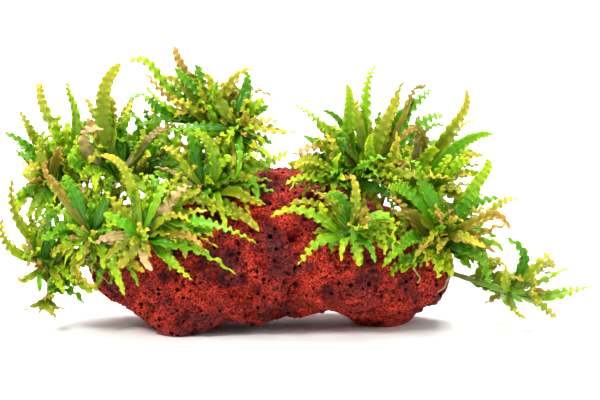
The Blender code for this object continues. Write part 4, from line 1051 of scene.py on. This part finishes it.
STALK_ROWS_FINE, STALK_SIDES_FINE = 36, 12
SIDE_STALK_REACH = 15.0
STAR_LEAVES = 9                 # round the end of each stalk
STAR_LEAF_LENGTH = (16.0, 30.0)
HEART_LEAVES = 6                # the youngest leaves, in the heart of each star
HEART_LEAF_LENGTH = (8.0, 14.0)
FRONT_LEAVES = (                # small leaves that stand out: shoot, share of its stalk, the points that the
    # midrib passes and ends at (across, up), the depth of the tip, width and tone
    ("left_end", 0.9, (-116, 66), (-125, 78), -34, 5.0, "brown"),
    ("left_far", 0.35, (-114, 78), (-116, 88), -14, 5.0, "gold"),
    ("left_tall", 0.6, (-108, 80), (-106, 89), -24, 7.0, "bright"),
    ("left_tall", 0.5, (-102, 76), (-106, 72), -26, 6.0, "lime"),
    ("left_front", 1.0, (-82, 75), (-94, 81), -40, 6.0, "gold"),
    ("left_front", 0.9, (-85, 52), (-93, 56), -52, 7.0, "bright"),
    ("left_tall", 0.7, (-78, 70), (-68, 65), -26, 7.0, "lime"),
    ("left_front", 1.0, (-66, 66), (-60, 71), -42, 5.0, "lime"),
    ("left_top", 0.95, (-57, 81), (-65, 88), -34, 5.0, "gold"),
    ("left_crest", 0.85, (-68, 108), (-73, 114), -12, 7.0, "green"),
    ("left_end", 0.95, (-94, 62), (-92, 69), -34, 6.0, "green"),
    ("left_front", 0.8, (-76, 60), (-80, 69), -44, 7.0, "green"),
    ("left_end", 0.95, (-109, 66), (-113, 74), -30, 7.0, "green"),
    ("left_far", 0.9, (-124, 86), (-129, 93), -12, 5.0, "lime"),
    ("left_front", 0.7, (-88, 45), (-98, 42), -54, 5.0, "tan"),
    ("left_end", 0.8, (-113, 56), (-124, 62), -26, 6.0, "lime"),
    ("left_low", 0.9, (-124, 48), (-120, 60), -18, 6.0, "green"),
    ("left_end", 0.7, (-112, 50), (-118, 44), -34, 6.0, "green"),
    ("left_top", 0.9, (-58, 72), (-70, 75), -34, 6.0, "green"),
    ("left_top", 1.0, (-50, 88), (-55, 97), -26, 6.0, "green"),
    ("right_top", 0.95, (41, 95), (52, 113), -26, 8.0, "olive"),
    ("right_top", 0.8, (54, 75), (77, 74), -34, 6.0, "gold"),
    ("right_end", 1.0, (64, 70), (59, 82), -34, 8.0, "bright"),
    ("right_end", 0.95, (56, 66), (45, 70), -38, 8.0, "bright"),
    ("right_front", 1.0, (43, 53), (48, 36), -50, 5.0, "lime"),
    ("right_end", 0.8, (54, 34), (46, 27), -44, 6.0, "bright"),
    ("right_top", 0.9, (19, 95), (9, 100), -22, 6.0, "lime"),
    ("right_top", 1.0, (30, 104), (28, 111), -16, 6.0, "gold"),
    ("right_top", 1.0, (60, 98), (73, 105), -16, 7.0, "bright"),
    ("right_crest", 0.95, (62, 95), (50, 92), -24, 5.0, "brown"),
    ("right_top", 1.0, (56, 110), (61, 119), -6, 4.0, "brown"),
    ("right_crest", 0.9, (78, 78), (85, 82), -26, 6.0, "lime"),
    ("right_crest", 0.8, (71, 79), (77, 83), -30, 6.0, "lime"),
    ("right_end", 1.0, (71, 52), (70, 58), -46, 4.5, "brown"),
    ("right_end", 1.0, (66, 42), (61, 39), -46, 4.5, "brown"),
    ("right_end", 1.0, (80, 43), (87, 41), -40, 5.0, "brown"),
    ("right_end", 1.0, (88, 47), (105, 52), -32, 5.5, "brown"),
    ("right_end", 0.8, (84, 38), (92, 30), -34, 7.0, "green"),
)
CLUMPS = {                      # the shoots of each clump, and how many leaves fill it up
    "left": (("left_end", "left_front", "left_top", "left_crest", "left_tall", "left_far", "left_low",
              "left_back"), 260),
    "right": (("right_front", "right_top", "right_crest", "right_end", "right_back"), 170),
    "trailing": (("right_trailing",), 10),
}
FILLING_LENGTH = (15.0, 34.0)
TIP_SPACING = 5.0               # least distance between leaf tips
FRONT_ROOM = 9.0                # how far they stay behind the foremost leaves
TOWARDS_VIEWER = np.array((0.0, -1.0, 0.14))
# Mostly the deep green, whose darkness is partly painted shade, for the leaves that fill the clumps' interior.
FILLING_TONES = ("green", "green", "green", "green", "lime", "lime", "lime", "olive", "olive", "gold",
                 "gold", "brown")


def stalk_body(centres, thickness=1.0):
    """A stalk: round rings along its middle line, swollen at each leaf joint, from 2 mm inside what
    carries it to a rounded top."""
    shares = np.linspace(0, 1, STALK_ROWS_FINE)
    run = np.concatenate(([0.0], np.cumsum(np.linalg.norm(np.diff(centres, axis=0), axis=1))))
    line = np.stack([np.interp(shares, run / run[-1], centres[:, axis]) for axis in range(3)], axis=-1)
    line[0] -= unit(line[1] - line[0]) * 2.5
    radii = (1.3 + 0.6 * shares) * (1 + 0.09 * np.sin(34 * shares)) * np.sqrt(np.clip(1.02 - shares ** 9, 0.04, 1))
    radii = radii * thickness
    rings = tube_rings(line, radii, STALK_SIDES_FINE)
    old, young = np.array((0.16, 0.12, 0.03)), np.array((0.16, 0.33, 0.015))
    tint = old + (young - old) * ease(shares / 0.7)[:, None, None] + np.zeros((1, STALK_SIDES_FINE, 1))
    uv = np.stack((np.broadcast_to(np.linspace(0, 1, STALK_SIDES_FINE), rings.shape[:2]),
                   np.broadcast_to(shares[:, None], rings.shape[:2])), axis=-1)
    return strip(rings, tint, uv)


def clear_of_stone(line, room):
    """Whether every point of a line is at least a room's length outside the stone."""
    for spot in line:
        nearest, out, _, _ = stone_tree.find_nearest(tuple(spot))
        if (np.array(spot) - np.array(nearest)) @ np.array(out) < room:
            return False
    return True


def reach_of(spots, ways):
    """How far a set of points goes in each of the given directions."""
    return (np.array(spots) @ ways.T).max(axis=0)


def by_length(centres, share):
    """The point at a share of a line's length."""
    run = np.concatenate(([0.0], np.cumsum(np.linalg.norm(np.diff(centres, axis=0), axis=1))))
    return np.array([np.interp(share * run[-1], run, centres[:, axis]) for axis in range(3)])


def star(centres, count, tones, ways, reach, rng):
    """Leaves round the upper third of a stalk: each leaves it at its own turn and slope, steeper
    towards the top, and stays within the clump's reach and clear of the stone."""
    found = []
    room = np.where(ways @ TOWARDS_VIEWER > 0.6, FRONT_ROOM - 2.0, 0.0)
    axis = unit(centres[-1] - centres[0])
    level_side = unit(np.cross(axis, (0.0, 1.0, 0.2)))
    other_side = np.cross(axis, level_side)
    turn = rng.uniform(0, 6)
    for number in range(count):
        share = 0.6 + 0.4 * (number + rng.uniform()) / count
        foot = by_length(centres, share)
        for _ in range(14):
            turn += 2.4 + rng.uniform(-0.5, 0.5)
            slope = rng.uniform(-0.35, 0.6) + 0.5 * share
            out = (level_side * math.cos(turn) + other_side * math.sin(turn)) * math.cos(slope)
            way = (out + axis * math.sin(slope)) * rng.uniform(*STAR_LEAF_LENGTH) + (0, 0, rng.uniform(-4, 2))
            end = foot + way
            middle = foot + way * 0.5 + np.array((0, 0, rng.uniform(0.5, 5.5)))
            line = along_curve(foot, middle, end, np.linspace(0.2, 1, 6))
            inside = (line @ ways.T < reach - 2.0 - room).all() and line[:, 2].min() > LOWEST_LEAF
            if inside and clear_of_stone(line, 1.5):
                tone = tones[int(rng.integers(len(tones)))]
                face = unit(np.array((rng.uniform(-0.5, 0.5), -0.6, 0.8)))
                found.append(((foot, middle, end, face), rng.uniform(4.4, 6.8), tone))
                break
    return found


def cells_of(line, width):
    """The small squares of the front view, 2 mm wide, that a leaf along a line lies over."""
    level = line[:, 2] * math.cos(VIEW_TILT) + line[:, 1] * math.sin(VIEW_TILT)
    spots = np.stack((line[:, 0], level), axis=1)
    beside = (np.arange(-1, 2) * width / 3.5)[:, None] * np.array((0.7, 0.7))
    spots = np.concatenate([spots + shift for shift in beside])
    return set(map(tuple, (spots / 2.0).round().astype(int).tolist()))


def fill_up(lines, tips, covered, count, ways, reach, rng):
    """Leaves that fill a clump up. Each grows from a random spot of a random stalk, in a random
    direction that leans up and to the front. It is kept if its tip stays within the clump, off
    the stone and away from other tips, and every second leaf only if it covers a bare patch of
    the front view. The lines are (name, points) of stalks. Returns (name, path, width, tone)
    of each leaf."""
    room = np.where(ways @ TOWARDS_VIEWER > 0.6, FRONT_ROOM, 4.0)
    tips = list(tips)
    found = []
    for _ in range(40 * count):
        name, stalk = lines[int(rng.integers(len(lines)))]
        foot = by_length(stalk, rng.uniform(0.15, 1))
        way = unit(rng.normal(size=3) + (0.0, -0.15, 0.25))
        tip = foot + way * rng.uniform(*FILLING_LENGTH)
        middle = (foot + tip) / 2 + np.array((*rng.uniform(-2.5, 2.5, 2), rng.uniform(0.5, 5.5)))
        if (reach - tip @ ways.T < room).any() or min(np.linalg.norm(np.array(tips) - tip, axis=1)) < TIP_SPACING:
            continue
        line = along_curve(foot, middle, tip, np.linspace(0.25, 1, 9))
        width = rng.uniform(4.8, 7.4)
        cells = cells_of(line, width)
        if len(found) % 2 and len(cells - covered) < 5:
            continue
        if line[:, 2].min() < LOWEST_LEAF or not clear_of_stone(line, 1.2):
            continue
        covered |= cells
        tips.append(tip)
        face = unit(np.array((rng.uniform(-0.6, 0.6), -0.7, 0.7)))
        tone = FILLING_TONES[int(rng.integers(len(FILLING_TONES)))]
        found.append((name, (foot, middle, tip, face), width, tone))
        if len(found) == count:
            break
    return found


def side_stalks(shoot_name, count, crowns, rng):
    """Middle lines of a shoot's side stalks: each heads for one of the shoot's leaves, those that
    leave the widest room between the crowns so far."""
    root = by_length(stalks[shoot_name], 0.7)
    spots = [root + unit(path[2] - root) * SIDE_STALK_REACH * rng.uniform(0.8, 1.3)
             for key, (path, _, _) in settled.items() if key[0] == shoot_name]
    lines = []
    for _ in range(count):
        spots.sort(key=lambda spot: min(np.linalg.norm(spot - crown) for crown in crowns))
        end = spots.pop()
        crowns.append(end)
        bend = (root + end) / 2 + np.array((0, 0, -2.0))
        lines.append(along_curve(root, bend, end, np.linspace(0, 1, 7)))
    return lines


def heart(centres, count, rng):
    """The youngest leaves: short, narrow, golden, and close round the end of the stalk."""
    found = []
    axis = unit(centres[-1] - centres[-2])
    level_side = unit(np.cross(axis, (0.3, 1.0, 0.2)))
    other_side = np.cross(axis, level_side)
    first = rng.uniform(0, 6)
    for number in range(count):
        turn = first + 2.4 * number
        slope = math.radians(rng.uniform(20, 70))
        out = (level_side * math.cos(turn) + other_side * math.sin(turn)) * math.cos(slope)
        way = (out + axis * math.sin(slope)) * rng.uniform(*HEART_LEAF_LENGTH)
        middle = centres[-1] + way * 0.5 + axis * rng.uniform(0.5, 2.0)
        tone = ("gold", "brown", "lime", "gold")[int(rng.integers(4))]
        face = unit(axis * 0.8 - out * 0.5 + (0.0, -0.4, 0.2))
        found.append(((centres[-1], middle, centres[-1] + way, face), rng.uniform(3.0, 4.4), tone))
    return found


young_skin = make_leaf_skin("young_leaf_and_stalk", 0.25, 0.24)
shoot_rng = np.random.default_rng(SEED + 3)
ways = scatter(shoot_rng, 90)
crowns = [centres[-1] for centres in stalks.values()]
side_lines = {shoot.name: side_stalks(shoot.name, 0 if shoot.name == "right_front" else 1, crowns, shoot_rng)
              for shoot in SHOOTS}
small_leaves = {shoot.name: [] for shoot in SHOOTS}
for name, share, via, tip, depth, width, tone in FRONT_LEAVES:
    foot = by_length(stalks[name], share)
    path = (foot, place(via[0], (foot[1] + depth) / 2 - 2, via[1]), place(tip[0], depth, tip[1]),
            unit(np.array((shoot_rng.uniform(-0.4, 0.4), -0.8, 0.6))))
    small_leaves[name].append((path, width, tone))
for members, count in CLUMPS.values():
    tips = [path[2] for (name, _, _), (path, _, _) in settled.items() if name in members]
    lines = [(name, line) for name in members for line in [stalks[name]] + side_lines[name]]
    reach = reach_of(tips + [line[0] for _, line in lines], ways)
    for name, line in lines:
        tones = [leaf.tone for shoot in SHOOTS if shoot.name == name for leaf in shoot.outer + shoot.inner]
        tones = [tone for tone in tones if tone not in ("tan", "brown")] + ["green", "green", "lime", "lime"]
        found = star(line, STAR_LEAVES, tones, ways, reach, shoot_rng) if count > 20 else []
        tips += [path[2] for path, _, _ in found]
        small_leaves[name] += found + heart(line, HEART_LEAVES, shoot_rng)
    own = [(path, width) for (name, _, _), (path, width, _) in settled.items() if name in members]
    own += [(path, width) for name in members for path, width, _ in small_leaves[name]]
    covered = set()
    for (start, via, tip, _), width in own:
        covered |= cells_of(along_curve(start, via, tip, np.linspace(0.1, 1, 12)), width)
    for name, path, width, tone in fill_up(lines, tips, covered, count, ways, reach, shoot_rng):
        small_leaves[name].append((path, width, tone))
for shoot in SHOOTS:
    bodies = [stalk_body(stalks[shoot.name])] + [stalk_body(line, 0.6) for line in side_lines[shoot.name]]
    for (name, kind, number), ((start, via, tip, face), width, tone) in settled.items():
        if name == shoot.name and kind == "inner":
            into_stalk = start - unit(via - start) * 1.0
            look = TURNED.get((name, kind, number), tone)
            bodies.append(blade((into_stalk, via, tip, face), width, look, shoot_rng))
    for path, width, tone in small_leaves[shoot.name]:
        bodies.append(blade(path, width, tone, shoot_rng, ACROSS_SMALL, 1.15))
    points, faces, tint, uv = gather(bodies)
    shoot_piece = new_piece(f"{shoot.name}_stalk_and_leaves", points, faces, young_skin,
                            colours={"tint": tint}, uvs=uv)
    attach(shoot_piece, "root")
    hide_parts(f"{shoot.name}_shoot")


# Three bare roots run down the face of the stone and hold to it: thin, smooth and pale.

ROOT_RADIUS = 0.6
ROOTS = (                       # each root runs between two points (across, depth, up) on the stone
    ("left_root", (-107, -10, 32), (-96, -26, 18)),
    ("right_root", (60, -34, 38), (62, -34, 22)),
    ("end_root", (82, -14, 24), (78, -26, 10)),
)


def make_root_skin():
    """Root: pale tan, a little greener in places, satin."""
    material, tree, shader, spot = new_material("pale_root")
    colour = ramp(tree, noise(tree, spot, 150.0, 3.0), (0.35, (0.30, 0.24, 0.07)), (0.65, (0.55, 0.45, 0.20)))
    tree.links.new(colour, shader.inputs["Base Color"])
    shader.inputs["Roughness"].default_value = 0.5
    tree.links.new(bump(tree, noise(tree, spot, 900.0, 2.0), 0.0002, 0.5), shader.inputs["Normal"])
    return material


root_skin = make_root_skin()
for name, first, last in ROOTS:
    ends = []
    for spot in (first, last):
        nearest, out, _, _ = stone_tree.find_nearest(tuple(place(*spot)))
        ends.append(np.array(nearest) + np.array(out) * (ROOT_RADIUS + 1.5))
    middle, out, _, _ = stone_tree.find_nearest(tuple((ends[0] + ends[1]) / 2))
    via = np.array(middle) + np.array(out) * (ROOT_RADIUS + 2.5)
    shares = np.linspace(0, 1, 28)
    line = along_curve(ends[0], via, ends[1], shares)
    line[:, 0] += 0.5 * np.sin(11 * shares)
    rings = tube_rings(line, ROOT_RADIUS * (1 - 0.35 * shares), 10)
    points, faces, _, _ = gather([strip(rings, np.zeros((28, 10, 3)), np.zeros((28, 10, 2)))])
    root = new_piece(f"pale_{name}", points, faces, root_skin)
    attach(root, "root")
    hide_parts(name)


# The studio: one white sheet that runs along the floor and up behind, a broad soft lamp from
# the upper left, a weaker one from the right and one overhead.

def make_sheet():
    """White paper sweep: level to 1.6 m behind, then a quarter turn of 0.6 m radius and upright."""
    turn = np.linspace(0, math.pi / 2, 13)
    back = np.concatenate(([-2.5], 1.6 + 0.6 * np.sin(turn), [2.2]))
    up = np.concatenate(([0.0], 0.6 - 0.6 * np.cos(turn), [3.0]))
    wide = np.array((-4.0, 4.0))
    points = np.stack(np.broadcast_arrays(wide[:, None], back[None], up[None] - 0.0002), axis=-1).reshape(-1, 3)
    count = len(back)
    faces = [(row, row + 1, count + row + 1, count + row) for row in range(count - 1)]
    mesh = bpy.data.meshes.new("paper_sheet")
    mesh.from_pydata(points.tolist(), [], faces)
    mesh.shade_smooth()
    material, _, shader, _ = new_material("white_paper")
    shader.inputs["Base Color"].default_value = (0.93, 0.93, 0.93, 1.0)
    shader.inputs["Roughness"].default_value = 0.9
    shader.inputs["Specular IOR Level"].default_value = 0.1
    mesh.materials.append(material)
    sheet = bpy.data.objects.new("paper_sheet", mesh)
    bpy.context.scene.collection.objects.link(sheet)


def soft_lamp(name, spot, aim, size, power):
    """A square soft lamp at a spot, turned to face the point it is aimed at."""
    light = bpy.data.lights.new(name, "AREA")
    light.energy, light.size = power, size
    lamp = bpy.data.objects.new(name, light)
    lamp.location = spot
    lamp.rotation_euler = (Vector(spot) - Vector(aim)).to_track_quat("Z", "Y").to_euler()
    bpy.context.scene.collection.objects.link(lamp)


make_sheet()
soft_lamp("key_lamp", (-0.8, -1.0, 1.4), (0.0, 0.0, 0.05), 0.6, 31.0)
soft_lamp("side_lamp", (1.2, -0.8, 0.8), (0.0, 0.0, 0.05), 0.6, 8.0)
soft_lamp("top_lamp", (0.1, 0.2, 1.6), (0.0, 0.0, 0.0), 0.9, 25.0)
soft_lamp("back_lamp", (0.0, 0.7, 1.8), (0.0, 2.0, 0.3), 1.4, 45.0)
world = bpy.data.worlds.new("white_room")
world.use_nodes = True
world.node_tree.nodes["Background"].inputs["Color"].default_value = (1.0, 1.0, 1.0, 1.0)
world.node_tree.nodes["Background"].inputs["Strength"].default_value = 0.28
bpy.context.scene.world = world
bpy.context.scene.view_settings.view_transform = "Standard"


# The camera looks from the front and 8 degrees above level, through a long lens.

FRAME_MIDDLE = (1.75, 0.0, 62.5)          # across, depth and up of the middle of the picture
CAMERA_AWAY = 1.5
camera_data = bpy.data.cameras.new("camera")
camera_data.lens = 180.0
camera_data.sensor_width = 36.0
camera = bpy.data.objects.new("camera", camera_data)
aim = Vector((place(*FRAME_MIDDLE) - FOOTPRINT_MIDDLE) * MM)
back_off = Vector((0.0, -math.cos(VIEW_TILT), math.sin(VIEW_TILT))) * CAMERA_AWAY
camera.location = aim + back_off
camera.rotation_euler = back_off.to_track_quat("Z", "Y").to_euler()
bpy.context.scene.collection.objects.link(camera)
bpy.context.scene.camera = camera
